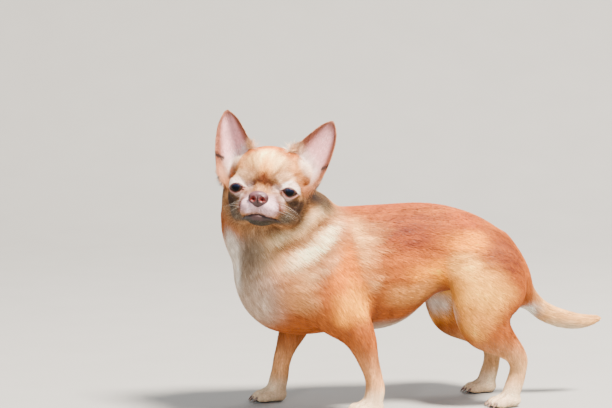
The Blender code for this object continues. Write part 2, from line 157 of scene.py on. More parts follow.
def paint_points(piece, name, colours):
    layer = piece.data.color_attributes.new(name, "FLOAT_COLOR", "POINT")
    values = np.ones((len(colours), 4), dtype=np.float32)
    values[:, :3] = colours
    layer.data.foreach_set("color", values.ravel())


print("meshes can be made, read and written")

# %% [markdown]
# Operators work on what is selected, and many of them only in edit mode.  These helpers select
# the pieces first, and leave edit mode again.

# %% Helpers for operators
def deselect():
    for piece in bpy.context.selected_objects:
        piece.select_set(False)


def select_only(*some):
    deselect()
    for piece in some:
        piece.select_set(True)
    bpy.context.view_layer.objects.active = some[0]


def apply_modifier(piece, kind, **values):
    select_only(piece)
    modifier = piece.modifiers.new(kind.lower(), kind)
    for name, value in values.items():
        setattr(modifier, name, value)
    bpy.ops.object.modifier_apply(modifier=modifier.name)


def in_edit_mode(piece, operator, **values):
    """Select everything in edit mode, run one operator and come back."""
    select_only(piece)
    bpy.ops.object.mode_set(mode="EDIT")
    bpy.ops.mesh.select_all(action="SELECT")
    operator(**values)
    bpy.ops.object.mode_set(mode="OBJECT")


def face_outwards(piece):
    """Edit mode's Recalculate Outside, and then smooth shading."""
    in_edit_mode(piece, bpy.ops.mesh.normals_make_consistent, inside=False)
    bpy.ops.object.shade_smooth()


def join_as(name, parts):
    select_only(*parts)
    bpy.ops.object.join()
    joined = bpy.context.view_layer.objects.active
    joined.name = name
    return joined


print("operators can be run on one piece or on several")

# %% [markdown]
# ## Masks, noise and distances
# Soft masks and a smooth, seeded noise are used again and again: for folds in the skin, for where
# the coat is long, and for its markings.

# %% Helpers for masks, noise and distances
def ease(values, low, high):
    """0 below low, 1 above high, and smooth between."""
    t = np.clip((values - low) / (high - low), 0.0, 1.0)
    return t * t * (3 - 2 * t)


def blob(points, centre, radii):
    """A soft round mask: 1 at the centre, 0 past the radii."""
    far = np.sqrt((((points - np.array(centre)) / np.array(radii)) ** 2).sum(1))
    return 1.0 - ease(far, 0.35, 1.0)


def mirror_of(points):
    """The signs that bring each point to the left side."""
    return np.where(points[:, :1] < 0, [[-1.0, 1, 1]], [[1.0, 1, 1]])


def mirrored(points):
    return points * mirror_of(points)


def bell(values, width):
    """A soft line: 1 where the value is 0, and next to nothing at twice the width."""
    return np.exp(-((values / width) ** 2))


def mix(values, others, mask):
    return values - (values - others) * mask


WAVES = RANDOM.normal(size=(14, 3))
WAVE_STARTS = RANDOM.uniform(0, 6.28, 14)


def noise(points, size):
    """A smooth noise about -1 to 1, with features about as large as size."""
    total = np.zeros(len(points))
    for wave, start in zip(WAVES, WAVE_STARTS):
        swirl = 1.7 * np.sin(points @ wave[::-1] * (1.3 / size))
        total += np.sin(points @ wave * (2.2 / size) + start + swirl)
    return total / 5.0


def warp(points, sizes, amount):
    """A shift for each point from three noises, so that a mask's edge runs unevenly."""
    turns = (points, points[:, [1, 2, 0]], points[:, [2, 0, 1]])
    return amount * np.stack([noise(turned, size) for turned, size in zip(turns, sizes)], 1)


def unit(vectors):
    return vectors / np.maximum(np.linalg.norm(vectors, axis=-1, keepdims=True), 1e-9)


def tree_of(points):
    tree = KDTree(len(points))
    for i, point in enumerate(points):
        tree.insert(point, i)
    tree.balance()
    return tree


def near_line(across, up, corners):
    """Distance in mm from a bent line in the plane of side and up."""
    best = np.full(len(across), 99.0)
    for (a, b), (c, d) in zip(corners, corners[1:]):
        along = ((across - a) * (c - a) + (up - b) * (d - b)) / ((c - a) ** 2 + (d - b) ** 2)
        along = np.clip(along, 0, 1)
        best = np.minimum(best, np.hypot(across - a - along * (c - a), up - b - along * (d - b)))
    return best


print("the noise is a sum of", len(WAVES), "waves")

# %% [markdown]
# ## The skin
# On the real dog one skin covers head, ears, neck, trunk, legs and tail.  The solids are parted by
# thin gaps, so their copies are swollen by more than half a gap, joined and remeshed into one
# surface.  The facets are then smoothed away, least on the face and the toes and twice on the
# nape, and the skin is drawn in by the depth of the coat, which fills the space up to the
# solids' outline again.

# %% One surface from the solids' copies
SWELL = 0.5
VOXEL = 1.2


def copy_of_node(name):
    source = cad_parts[name]
    copy = bpy.data.objects.new("copy_" + name, source.data.copy())
    bpy.context.scene.collection.objects.link(copy)
    apply_modifier(copy, "WELD", merge_threshold=0.00001)
    apply_modifier(copy, "DISPLACE", strength=SWELL * MM, mid_level=0.0)
    return copy


def keep_largest(piece):
    """Edit mode's Separate by loose parts, and then only the largest part stays."""
    in_edit_mode(piece, bpy.ops.mesh.separate, type="LOOSE")
    parts = sorted(bpy.context.selected_objects, key=lambda part: len(part.data.vertices))
    for part in parts[:-1]:
        bpy.data.objects.remove(part, do_unlink=True)
    return parts[-1]


def join_copies():
    joined = join_as("joined", [copy_of_node(name) for name in sorted(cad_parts)])
    apply_modifier(joined, "REMESH", mode="VOXEL", voxel_size=VOXEL * MM)
    joined = keep_largest(joined)
    joined.name = "skin"
    joined.data.materials.clear()
    return joined


skin = join_copies()
print("remeshed skin has", len(skin.data.polygons), "faces")

# %% [markdown]
# ## Where the ears are
# An ear is a cupped leaf.  Its middle surface is laid out again as a grid between its two edges,
# in the head's ruler.  The nearest place on this leaf tells of any point how high up the ear it
# is, how far across, and whether it is inside the cup or on its back.

# %% The two leaves
EAR_INNER = np.array(
    [(12, -6, 26), (17.4, 0, 38), (23, -4, 46.5), (29.5, -8, 56), (37, -11, 65), (46, -13, 71)], float
)
EAR_OUTER = np.array(
    [(30, -4, 0), (44, 2, 5), (51, -1, 22), (53.5, -6, 40), (53, -10, 57), (47.5, -13, 70)], float
)
EAR_CUP = np.array([[15], [20], [17], [12], [6.5], [1]], float)
EAR_SPLAY = {1: 7.0, -1: 1.0}
EAR_HINGE = (31.0, 22.0)
LEAF_ROWS, LEAF_COLUMNS = 71, 41


def on_curve(rows, places):
    """Points on the smooth curve through the rows, at places counted in rows."""
    last = len(rows) - 1
    start = np.minimum(np.floor(places).astype(int), last - 1)
    t = (places - start)[:, None]
    a, b = rows[np.maximum(start - 1, 0)], rows[start]
    c, d = rows[start + 1], rows[np.minimum(start + 2, last)]
    bend, twist = 2 * a - 5 * b + 4 * c - d, 3 * b - a - 3 * c + d
    return 0.5 * (2 * b + (c - a) * t + bend * t**2 + twist * t**3)


def ear_leaf(side):
    """A grid of points in the head's ruler, a row for each height."""
    heights = np.linspace(0, len(EAR_INNER) - 1, LEAF_ROWS)
    across = np.linspace(0, 1, LEAF_COLUMNS)
    inner, outer = on_curve(EAR_INNER, heights), on_curve(EAR_OUTER, heights)
    leaf = inner[:, None] + (outer - inner)[:, None] * across[None, :, None]
    leaf[..., 1] -= on_curve(EAR_CUP, heights) * (1 - (2 * across - 1) ** 2)[None] ** 0.75
    leaf[..., 0] *= side
    turn = side * math.radians(EAR_SPLAY[side])
    x, z = leaf[..., 0] - side * EAR_HINGE[0], leaf[..., 2] - EAR_HINGE[1]
    leaf[..., 0] = side * EAR_HINGE[0] + x * math.cos(turn) + z * math.sin(turn)
    leaf[..., 2] = EAR_HINGE[1] - x * math.sin(turn) + z * math.cos(turn)
    return leaf


print("left ear's tip is at", from_head(ear_leaf(1)[-1, -1]).round(4))

# %% [markdown]
# A search tree over the leaf's grid finds the nearest grid point for each skin point near an ear.
# The map keeps what that grid point tells.

# %% A map of the ears
class EarMap:
    """For each point: how near an ear's leaf it is, its height and place across, and which side."""

    def __init__(self, local):
        count = len(local)
        self.far = np.full(count, 99.0)
        self.height, self.across, self.inside = np.zeros(count), np.zeros(count), np.zeros(count)
        self.upward, self.outward = np.zeros((count, 3)), np.zeros((count, 3))
        for side in (1, -1):
            self.read(local, side)

    def read(self, local, side):
        leaf = ear_leaf(side)
        upward, outward = np.gradient(leaf, axis=0), np.gradient(leaf, axis=1)
        facing = unit(np.cross(outward, upward))
        facing *= np.sign(facing[..., 1].mean())
        tree = tree_of(leaf.reshape(-1, 3))
        near_by = (local[:, 0] * side > 4) & (local[:, 2] > -8) & (np.abs(local[:, 1] + 10) < 26)
        for i in np.flatnonzero(near_by):
            _, k, distance = tree.find(local[i])
            if distance < self.far[i]:
                row, column = divmod(k, LEAF_COLUMNS)
                self.far[i] = distance
                self.height[i] = row / (LEAF_ROWS - 1)
                self.across[i] = column / (LEAF_COLUMNS - 1)
                self.inside[i] = (local[i] - leaf[row, column]) @ facing[row, column]
                self.upward[i], self.outward[i] = upward[row, column], outward[row, column]

    def mask(self):
        return (1.0 - ease(self.far, 2.4, 4.6)) * ease(self.height, 0.02, 0.1)


print("left leaf has", ear_leaf(1)[..., 0].size, "grid points")

# %% [markdown]
# Each point moves a part of the way to the middle of its neighbours, many times over.  Face, ears
# and paws move least, and the nape is done a second time, because a crease is left there.

# %% Smooth the facets away
SMOOTHING_ROUNDS = 44
HEAD_EDGE = -30.0


def smooth_points(points, edges, weight, rounds):
    """Each point moves towards the mean of its neighbours, as far as its weight says."""
    count = len(points)
    ends = np.concatenate([edges[:, 0], edges[:, 1]])
    others = np.concatenate([edges[:, 1], edges[:, 0]])
    degree = np.maximum(np.bincount(ends, minlength=count), 1)
    for _ in range(rounds):
        sums = [np.bincount(ends, weights=points[others, k], minlength=count) for k in range(3)]
        mean = np.stack(sums, 1) / degree[:, None]
        points = points + (mean - points) * weight[:, None]
    return points


def headness(local):
    """1 on the head, 0 on the body, from the plane between nape and throat."""
    along = 0.72 * local[:, 1] + 0.69 * local[:, 2]
    return ease(along, HEAD_EDGE - 6, HEAD_EDGE + 8) * (np.linalg.norm(local, axis=1) < 95)


def paw_mask(body):
    return 1.0 - ease(body[:, 2], 18, 34)


points = points_of(skin)
local, body = to_head(points), to_body(points)
head = headness(local)
ears = EarMap(local)
weight = 0.62 - 0.42 * head
weight = np.where((local[:, 1] > 8) & (head > 0.5), 0.12, weight)
weight = weight * (1 - 0.8 * paw_mask(body)) * (1 - 0.82 * ears.mask() * (1 - head * 0.2))
points = smooth_points(points, edges_of(skin), weight, SMOOTHING_ROUNDS)
nape = blob(to_head(points), (0, -46, 14), (58, 27, 36))
points = smooth_points(points, edges_of(skin), 0.6 * nape, SMOOTHING_ROUNDS)
put_points(skin, points)
print("skin reaches from", points.min(0).round(4), "to", points.max(0).round(4))

# %% [markdown]
# ## Fewer faces where the form is plain
# The trunk needs far fewer faces than the face does.  Decimate with a vertex group thins the
# trunk and spares the head, and Subdivide in edit mode then makes the front of the face, and once
# more the places of the eyes and the mouth, fine enough to be sculpted.

# %% Thin the trunk, refine the face
EYE_PLACE = np.array([22.6, EYE_FORWARD, 0.0])
EYE_RADIUS = 9.2
EYE_TURN = math.radians(14.0)
MOUTH_MIDDLE, MOUTH_FALL, MOUTH_HALF = -22.6, 4.4, 17.0
NOSE_PLACE = np.array([0.0, NOSE_FORWARD, -NOSE_DROP])
NOSE_HALF = np.array([8.4, 6.2, 6.8])
BODY_SHARE = 0.3


def mouth_line(side):
    return MOUTH_MIDDLE - MOUTH_FALL * (np.abs(side) / MOUTH_HALF) ** 1.6


def thin(piece, share):
    local, body = to_head(points_of(piece)), to_body(points_of(piece))
    spare = np.clip(headness(local) * 0.85 + EarMap(local).mask() + 0.7 * paw_mask(body), 0, 1)
    group = piece.vertex_groups.new(name="thin")
    levels = np.round((1 - spare) * 8).astype(int)
    for level in range(1, 9):
        group.add(np.flatnonzero(levels == level).tolist(), level / 8, "REPLACE")
    apply_modifier(piece, "DECIMATE", ratio=share, vertex_group="thin")
    piece.vertex_groups.clear()


def face_centres(piece):
    return to_head(read_rows(piece.data.polygons, "center", 3).astype(float))


def subdivide(piece, chosen):
    select_only(piece)
    bpy.ops.object.mode_set(mode="EDIT")
    bpy.ops.mesh.select_mode(type="FACE")
    bpy.ops.mesh.select_all(action="DESELECT")
    bpy.ops.object.mode_set(mode="OBJECT")
    piece.data.polygons.foreach_set("select", chosen)
    bpy.ops.object.mode_set(mode="EDIT")
    bpy.ops.mesh.subdivide(number_cuts=1)
    bpy.ops.object.mode_set(mode="OBJECT")
    in_edit_mode(piece, bpy.ops.mesh.quads_convert_to_tris)


def near_eyes(centres, reach):
    return np.linalg.norm(mirrored(centres) - EYE_PLACE, axis=1) < reach


thin(skin, BODY_SHARE)
centres = face_centres(skin)
front_of_face = (centres[:, 1] > 10) & (np.abs(centres[:, 2] + 11) < 29) & (headness(centres) > 0.5)
subdivide(skin, front_of_face)
centres = face_centres(skin)
at_mouth = (centres[:, 1] > 20) & (np.abs(centres[:, 2] - mouth_line(centres[:, 0])) < 3.5)
at_mouth &= np.abs(centres[:, 0]) < 20
subdivide(skin, near_eyes(centres, 13.5) & (centres[:, 1] > EYE_FORWARD + 2) | at_mouth)
print("skin now has", len(skin.data.polygons), "triangles")

# %% [markdown]
# ## Sculpting the face and the folds
# Lids, lips, brows and folds are moved into the fine mesh by rule, as a sculptor's brushes would
# do.  The lids lie round each eyeball at a lid's thickness and stop at an almond-shaped opening,
# inside which the skin dips under the eyeball.

# %% The opening between the lids
LID_HALF = 6.7
LID_MIDDLE = -1.0
LID_DROOP = 0.11
LID_UP, LID_DOWN = 3.5, 3.9
LID_SURFACE = 10.1
HIDDEN_RADIUS = 7.6
EYE_GAZE = np.array([math.sin(EYE_TURN), math.cos(EYE_TURN), 0])
EYE_OUT = np.array([math.cos(EYE_TURN), -math.sin(EYE_TURN), 0])


def lid_heights(out):
    """The middle line of the opening and its upper and lower edge, at places from corner to corner."""
    bow = np.clip(1 - (out / LID_HALF) ** 2, 0, 1)
    middle = LID_MIDDLE - LID_DROOP * out
    return middle, middle + LID_UP * bow**0.75, middle - LID_DOWN * bow**0.85


def past_lids(local):
    """How far a point is outside the opening between the lids, its height and its radius, in mm."""
    away = mirrored(local) - EYE_PLACE
    radius = np.linalg.norm(away, axis=1)
    out, up = away @ EYE_OUT / radius * EYE_RADIUS, away[:, 2] / radius * EYE_RADIUS
    middle, top, low = lid_heights(out)
    corner = np.hypot(np.abs(out) - LID_HALF, up - middle)
    far = np.where(np.abs(out) > LID_HALF, corner, np.maximum(up - top, low - up))
    return np.where(away @ EYE_GAZE > 0, far, 30.0), up - middle, radius


print("the opening between the lids is", 2 * LID_HALF, "mm long")

# %% [markdown]
# The skin is drawn in by the depth of the coat, and round each eyeball it is set at the lids'
# level, with a crease in each lid and a swelling under the brow.

# %% Draw the skin in and set the lids
TRUNK_DEPTH, LEG_DEPTH, HEAD_DEPTH, FACE_DEPTH = 2.2, 0.9, 1.0, 0.75
RUFF = ((8, -150, 165), (80, 60, 75))


def coat_depth(local, body, ears):
    """How deep the coat is over the skin, in mm."""
    depth = np.full(len(body), TRUNK_DEPTH)
    depth += 0.9 * blob(body, *RUFF)
    depth = mix(depth, LEG_DEPTH, 1 - ease(body[:, 2], 40, 95))
    depth += 0.7 * ease(body[:, 1], 92, 120)
    depth = mix(depth, HEAD_DEPTH, headness(local))
    depth = np.where((local[:, 1] > 14) & (headness(local) > 0.5), FACE_DEPTH, depth)
    depth = mix(depth, SWELL, paw_mask(body))
    return mix(depth, FACE_DEPTH, ears.mask())


def set_lids(local):
    far, height, radius = past_lids(local)
    level = HIDDEN_RADIUS + (LID_SURFACE - HIDDEN_RADIUS) * ease(far, -0.5, 0.9)
    above = height > 0
    level -= 0.45 * bell(far - 2.6, 0.7) * np.where(above, 1.0, 0.6)
    natural = radius + np.where(above, 1.1, 0.3) * bell(far - 7.5, 3.0)
    natural -= np.where(above, 0, 0.6) * bell(far - 4.6, 1.2)
    wanted = level + (natural - level) * ease(far, 2.0, 6.5)
    near = (far < 16) & (radius < 19)
    centre = EYE_PLACE * mirror_of(local)
    moved = centre + (local - centre) * (wanted / radius)[:, None]
    return np.where(near[:, None], moved, local)


points = points_of(skin)
local, body = to_head(points), to_body(points)
points -= normals_of(skin) * (coat_depth(local, body, EarMap(local)) * MM)[:, None]
local = set_lids(to_head(points))
far, _, _ = past_lids(local)
points = np.where((far < 16)[:, None], from_head(local), points)
put_points(skin, points)
print("lids set round", int((far < 0).sum()), "hidden points")

# %% [markdown]
# The nose ball of the skin is tucked away under the nose leather, which comes later.  The mouth
# is a groove with soft lips above and below it, and a short upright groove joins it to the nose.
# A shallow furrow runs down beside the muzzle and another between the brows.

# %% Nose, mouth and stop
TAN_LINE = [(4.5, 6.0), (9.5, 0.5), (13.5, -5.0), (16.3, -11.5), (17.8, -19.5)]


def face_relief(local):
    """How far the skin stands out, in mm, from lips, grooves and furrows."""
    side, front, up = np.abs(local[:, 0]), ease(local[:, 1], 16, 26), local[:, 2]
    from_mouth = up - mouth_line(side)
    lips = 1 - ease(side, MOUTH_HALF - 3, MOUTH_HALF + 3)
    relief = -1.8 * bell(from_mouth, 0.75) * lips
    relief += 0.8 * bell(from_mouth - 2.6, 1.5) * lips
    relief += 0.9 * bell(from_mouth + 2.2, 1.2) * (1 - ease(side, 9, 16))
    relief -= 0.7 * bell(from_mouth + 4.8, 1.0) * (1 - ease(side, 8, 15))
    relief -= 0.8 * bell(side, 0.7) * ease(up, -23, -21) * (1 - ease(up, -14, -12))
    relief += 0.9 * np.exp(-(((side - 8.5) / 4.5) ** 2) - ((up + 15.5) / 4.0) ** 2)
    relief -= 0.55 * bell(near_line(side, up, TAN_LINE), 1.6)
    relief -= 0.8 * bell(side, 2.6) * ease(up, 0, 6) * (1 - ease(up, 14, 22))
    return relief * front


def tuck_nose(local):
    away = (local - NOSE_PLACE) / NOSE_HALF
    size = np.linalg.norm(away, axis=1)
    tucked = NOSE_PLACE + away / np.maximum(size, 0.01)[:, None] * 0.45 * NOSE_HALF
    blend = (1 - ease(size, 1.02, 1.22)) * (local[:, 1] > 33)
    return local + (tucked - local) * blend[:, None]


print("the tan line has", len(TAN_LINE), "corners on each side")

# %% [markdown]
# On the neck the skin lies in folds on the side to which the head is turned, and short grooves
# part the toes.  All of this relief is then applied in one go, and the face is evened out a little.

# %% Toes and neck folds
FOLD_WAY = np.array([0.148, 0.55, -0.82])
FOLD_STEP = 24.0
# Each paw: its place, its heading in degrees, and its length, width, toe radius and claw length.
PAWS = {
    "forepaw_left": ((45.0, -64.0), 6, (33, 25, 5.6, 7.0)),
    "forepaw_right": ((-45.0, -134.0), -6, (33, 25, 5.6, 7.0)),
    "hindpaw_left": ((41.0, 73.0), 4, (32, 23, 5.2, 6.5)),
    "hindpaw_right": ((-41.0, 77.5), -4, (32, 23, 5.2, 6.5)),
}
TOE_PLACES = (-1.5, -0.5, 0.5, 1.5)
TOE_FAN = 13.0


def toe_frame(foot, heading, sizes, place):
    length, width, _, _ = sizes
    angle = math.radians(place * TOE_FAN)
    reach = length * (0.5 - 0.045 * abs(place) ** 1.5)
    x = place * width * 0.23 + math.sin(angle) * 1.5
    turn = Matrix.Rotation(math.radians(heading), 3, "Z")
    start = Vector((foot[0], foot[1], 0)) + turn @ Vector((x, -reach, 0))
    return start, turn @ Matrix.Rotation(angle * 0.6, 3, "Z")


def toe_grooves(body):
    """1 on the lines between two toes, 0 elsewhere."""
    near = np.zeros(len(body))
    for foot, heading, sizes in PAWS.values():
        for place in (-1.0, 0.0, 1.0):
            start, turn = toe_frame(foot, heading, sizes, place)
            away = (body - np.array(start)) @ np.array(turn)
            line = bell(away[:, 0], 1.1) * (1 - ease(np.abs(away[:, 1]), 6, 12))
            near = np.maximum(near, line * (1 - ease(body[:, 2], 11, 15)))
    return near


def fold_phase(body):
    return body @ FOLD_WAY / FOLD_STEP + 0.17 * noise(body, 45)


def fold_mask(body):
    return blob(body, (38, -133, 172), (46, 44, 52)) + 0.5 * blob(body, (-30, -130, 178), (40, 40, 40))


points, normals = points_of(skin), normals_of(skin)
local, body = to_head(points), to_body(points)
relief = face_relief(local) * headness(local)
folds = np.cos(2 * math.pi * fold_phase(body)) * fold_mask(body)
relief += (1.9 + 0.5 * noise(body, 25)) * folds * (1 - headness(local))
relief -= 1.6 * toe_grooves(body)
relief += 0.05 * noise(body, 13) * (1 - ease(local[:, 1], 5, 14) * headness(local))
points = points + normals * (relief * MM)[:, None]
points = from_head(tuck_nose(to_head(points)))
weight = 0.3 * headness(to_head(points)) * (past_lids(to_head(points))[0] > 1.5)
points = smooth_points(points, edges_of(skin), weight, 2)
put_points(skin, points)
skin.data.polygons.foreach_set("use_smooth", np.ones(len(skin.data.polygons), dtype=bool))
print("deepest fold", relief.min().round(2), "mm, highest", relief.max().round(2), "mm")

# %% [markdown]
# ## The markings, and some painted light and shade
# The coat runs from rust on the saddle and rump through orange on shoulder and hip to cream on
# neck, brows, feet and tail.  Each area is a soft round mask with its colour.  Some masks are
# painted shade: grey-brown on the chest and under the chin, dark on the nape, and tan in the
# neck's creases, with painted light on the folds' crests.  Skin and coat take their colours from
# the same list, so that no parting shows a wrong ground.

# %% Colours of trunk, legs and tail
TRUNK_TONES = [
    ((48, -40, 171), (70, 66, 24), (0.215, 0.043, 0.007), 0.9),
    ((0, -35, 194), (46, 92, 16), (0.32, 0.064, 0.018), 0.85),
    ((48, -34, 160), (44, 30, 18), (0.17, 0.03, 0.005), 0.6),
    ((48, -39, 142), (40, 30, 15), (0.5, 0.125, 0.018), 0.7),
    ((48, -10, 131), (34, 26, 20), (0.95, 0.3, 0.008), 0.9),
    ((48, 24, 160), (36, 30, 20), (0.86, 0.26, 0.008), 0.85),
    ((48, 19, 138), (36, 24, 18), (0.95, 0.45, 0.09), 0.75),
    ((48, -22, 112), (34, 44, 18), (0.82, 0.33, 0.075), 0.8),
    ((44, 68, 148), (50, 36, 38), (0.17, 0.036, 0.007), 0.88),
    ((40, 29, 181), (44, 34, 15), (0.37, 0.068, 0.008), 0.75),
    ((44, 38, 112), (38, 38, 36), (0.94, 0.44, 0.06), 0.85),
    ((46, 29, 84), (30, 24, 18), (0.88, 0.37, 0.06), 0.8),
    ((46, -97, 138), (34, 25, 32), (0.72, 0.18, 0.004), 0.95),
    ((46, -94, 106), (28, 28, 26), (0.93, 0.345, 0.012), 0.9),
    ((46, -103, 178), (34, 14, 16), (0.42, 0.095, 0.016), 0.75),
    ((20, -178, 118), (64, 46, 50), (0.5, 0.37, 0.27), 0.85),
    ((48, -138, 118), (30, 24, 26), (0.62, 0.27, 0.09), 0.8),
    # Grey-brown on the middle of the chest: painted shade.
    ((40, -178, 150), (20, 22, 34), (0.24, 0.17, 0.11), 0.75),
    ((14, -190, 150), (24, 26, 40), (0.84, 0.72, 0.6), 0.95),
    ((0, -30, 76), (46, 74, 22), (0.48, 0.4, 0.32), 0.9),
    ((26, 12, 92), (30, 24, 20), (0.78, 0.71, 0.64), 0.95),
]
BAND = [(-87, 186), (-77, 158), (-69, 124)]
FOLD_CREST_CREAM_AND_LIGHT, FOLD_CREASE_TAN_AND_SHADE = (0.97, 0.72, 0.4), (0.22, 0.078, 0.026)


def blend(colours, mask, colour):
    return colours + (np.array(colour) - colours) * np.clip(mask, 0, 1)[:, None]


def trunk_colours(body):
    flat = mirrored(body)
    warped = flat + warp(body, (21, 17, 19), 3.5)
    colours = np.tile(np.array([0.34, 0.084, 0.014]), (len(body), 1))
    for centre, radii, colour, strength in TRUNK_TONES:
        colours = blend(colours, blob(warped, centre, radii) * strength, colour)
    on_side = ease(flat[:, 0], 20, 38) * (1 - ease(flat[:, 1], -64, -58))
    band = bell(near_line(warped[:, 1], warped[:, 2], BAND), 6.8) * on_side
    return blend(colours, 0.75 * band, (0.96, 0.48, 0.16))


def limb_colours(colours, body):
    fore, hind = body[:, 1] < -20, body[:, 1] > 20
    lower = 1 - ease(body[:, 2], 34, 74)
    colours = blend(colours, lower * fore * 0.9, (0.72, 0.33, 0.13))
    colours = blend(colours, lower * hind * (body[:, 1] < 100) * 0.9, (0.72, 0.4, 0.18))
    colours = blend(colours, (1 - ease(body[:, 2], 12, 34)) * 0.85, (0.84, 0.62, 0.4))
    tail = ease(body[:, 1], 98, 116)
    colours = blend(colours, tail, (0.7, 0.35, 0.12))
    under = tail * (1 - ease(body[:, 2] - 60 + 0.25 * (body[:, 1] - 150), 3, 15)) * 0.8
    colours = blend(colours, under, (0.84, 0.7, 0.5))
    return blend(colours, blob(body, (0, 100, 92), (18, 16, 14)), (0.85, 0.8, 0.7))


def neck_colours(colours, body):
    on_neck = blob(body, (10, -138, 176), (86, 58, 72))
    colours = blend(colours, on_neck * 0.85, (0.86, 0.52, 0.24))
    # On the folds the crests are cream and the creases tan: partly the coat's own colours where it
    # parts, partly painted light on the crests and painted shade in the creases.
    wave = np.cos(2 * math.pi * fold_phase(body) + 0.5)
    folds = np.clip(fold_mask(body) * 1.3, 0, 1)
    colours = blend(colours, folds * ease(wave, -0.15, 0.75), FOLD_CREST_CREAM_AND_LIGHT)
    colours = blend(colours, folds * ease(-wave, 0.1, 0.9) * 0.8, FOLD_CREASE_TAN_AND_SHADE)
    # Grey-brown under the chin: a painted shadow of the head on the throat.
    colours = blend(colours, blob(body, (32, -179, 162), (26, 20, 24)) * 0.65, (0.15, 0.115, 0.08))
    # The dark nape behind the ear is mostly a painted shadow of the ear, partly dark hair.
    return blend(colours, blob(body, (26, -112, 204), (40, 24, 26)) * 0.92, (0.016, 0.01, 0.006))


print("trunk tones:", len(TRUNK_TONES))

# %% [markdown]
# On the head a pale crescent lies over each eye, dark patches under the eyes run into the cheeks
# and the chin, and a tan line comes down beside the muzzle.  The dark of cheeks, chin and jaw is
# partly the coat's own mask and partly painted shade under the brows and the jaw, and a dark
# patch on the nape behind each ear is mostly a painted shadow of the ear.  Lips and lids are
# bare skin, darker than the coat.

# %% Colours of the head
HEAD_TONES = [
    ((0, 2, 42), (46, 46, 24), (0.5, 0.115, 0.014), 0.9),
    ((0, 26, 28), (24, 26, 15), (0.96, 0.56, 0.22), 0.92),
    ((27, 12, 18), (11, 22, 20), (0.48, 0.19, 0.06), 0.85),
    ((36, 2, 6), (14, 22, 22), (0.42, 0.17, 0.06), 0.85),
    ((35, 0, 27), (13, 20, 17), (0.95, 0.68, 0.5), 0.92),
    ((19, 25, 10.5), (14, 16, 7.0), (0.88, 0.5, 0.27), 0.6),
    ((0, 27, 20), (8, 20, 14), (0.8, 0.32, 0.07), 0.8),
    ((0, 30, 8.6), (6.0, 16, 9), (0.18, 0.045, 0.012), 0.95),
    ((13, 30, 1), (7, 14, 7), (0.92, 0.6, 0.5), 0.9),
    ((20, 24, -6.5), (9, 12, 4.0), (0.9, 0.64, 0.56), 0.85),
    ((9, 37, -14), (18, 20, 12), (0.8, 0.5, 0.56), 1.0),
    # Cheeks, under the eyes, jowls, chin and under the jaw: dark partly from the coat's own mask and
    # partly as painted shade under the brows and the jaw.
    ((31, 7, -21), (25, 28, 19), (0.105, 0.056, 0.028), 0.93),
    ((28, 15, -13), (19, 20, 14), (0.034, 0.018, 0.01), 0.9),
    ((21, 22, -24), (11, 15, 10), (0.085, 0.062, 0.042), 0.92),
    ((0, 34, -32), (24, 23, 9.5), (0.04, 0.034, 0.024), 0.95),
    ((0, 8, -42), (34, 34, 16), (0.12, 0.078, 0.046), 0.85),
    # Dark nape behind each ear: mostly a painted shadow of the ear, partly dark hair.
    ((42, -32, 2), (26, 26, 22), (0.016, 0.01, 0.006), 0.96),
]
BROW_TONE = (0.96, 0.69, 0.58)
LIP_HEIGHT = 6.6
LIP_TONE, LIP_PINK = (0.028, 0.016, 0.018), (0.085, 0.036, 0.038)
LID_DARK, LID_PINK = (0.055, 0.022, 0.018), (0.42, 0.17, 0.15)


def head_colours(local):
    flat = mirrored(local)
    warped = flat + warp(local, (9, 8, 9), 1.1)
    colours = np.tile(np.array([0.36, 0.16, 0.06]), (len(local), 1))
    for centre, radii, colour, strength in HEAD_TONES:
        colours = blend(colours, blob(warped, centre, radii) * strength, colour)
    far, height, radius = past_lids(local)
    reach = np.maximum(far, 0) + 1.3 * np.maximum(radius - 10.5, 0) + 0.7 * noise(local, 4)
    brow = (1 - ease(reach, 3.2, 8.0)) * ease(height, -1.0, 1.5)
    colours = blend(colours, brow * 0.97, BROW_TONE)
    # Below the mouth the chin is dark: partly its own dark hair, partly painted shade under the jaw.
    below = mouth_line(flat[:, 0]) - flat[:, 2]
    dark_chin_and_shade = ease(below, -0.5, 1.5) * (1 - ease(below, 9, 15))
    dark_chin_and_shade = dark_chin_and_shade * (1 - ease(flat[:, 0], 15, 23)) * ease(flat[:, 1], 14, 24)
    colours = blend(colours, dark_chin_and_shade * 0.93, (0.042, 0.034, 0.024))
    line = bell(near_line(warped[:, 0], warped[:, 2], TAN_LINE), 2.7) * ease(flat[:, 1], 14, 20)
    return blend(colours, line * 0.97, (0.12, 0.034, 0.011))


def bare_colours(colours, local):
    """The bare skin of lips and lids."""
    side, front = np.abs(local[:, 0]), ease(local[:, 1], 16, 24)
    from_mouth = local[:, 2] - mouth_line(side)
    height = LIP_HEIGHT * (1 - 0.65 * ease(side, 2, MOUTH_HALF))
    ragged = 0.35 * noise(local, 2.2)
    lips = 1 - ease(np.abs(from_mouth + 0.35 * height + ragged) / (0.5 * height), 0.75, 1.25)
    lips *= (1 - ease(side, MOUTH_HALF - 1, MOUTH_HALF + 4)) * front
    pink = lips * (1 - ease(side, 2, 8)) * ease(-from_mouth, 0.4, 1.6)
    colours = blend(blend(colours, lips, LIP_TONE), pink * 0.8, LIP_PINK)
    far, height, _ = past_lids(local)
    colours = blend(colours, (1 - ease(far, 0.4, 1.5)) * (height > 0), LID_DARK)
    return blend(colours, (1 - ease(far, 0.5, 1.7)) * (height <= 0), LID_PINK)


print("head tones:", len(HEAD_TONES))

# %% [markdown]
# An ear is pale inside, rust along the rims and the tip, and tan on its back.  A short dark slit
# of painted shade marks the small pocket on its outer rim.  Then all colours are worked out for
# each skin point, once for the coat and once, with the bare places, for the skin itself.

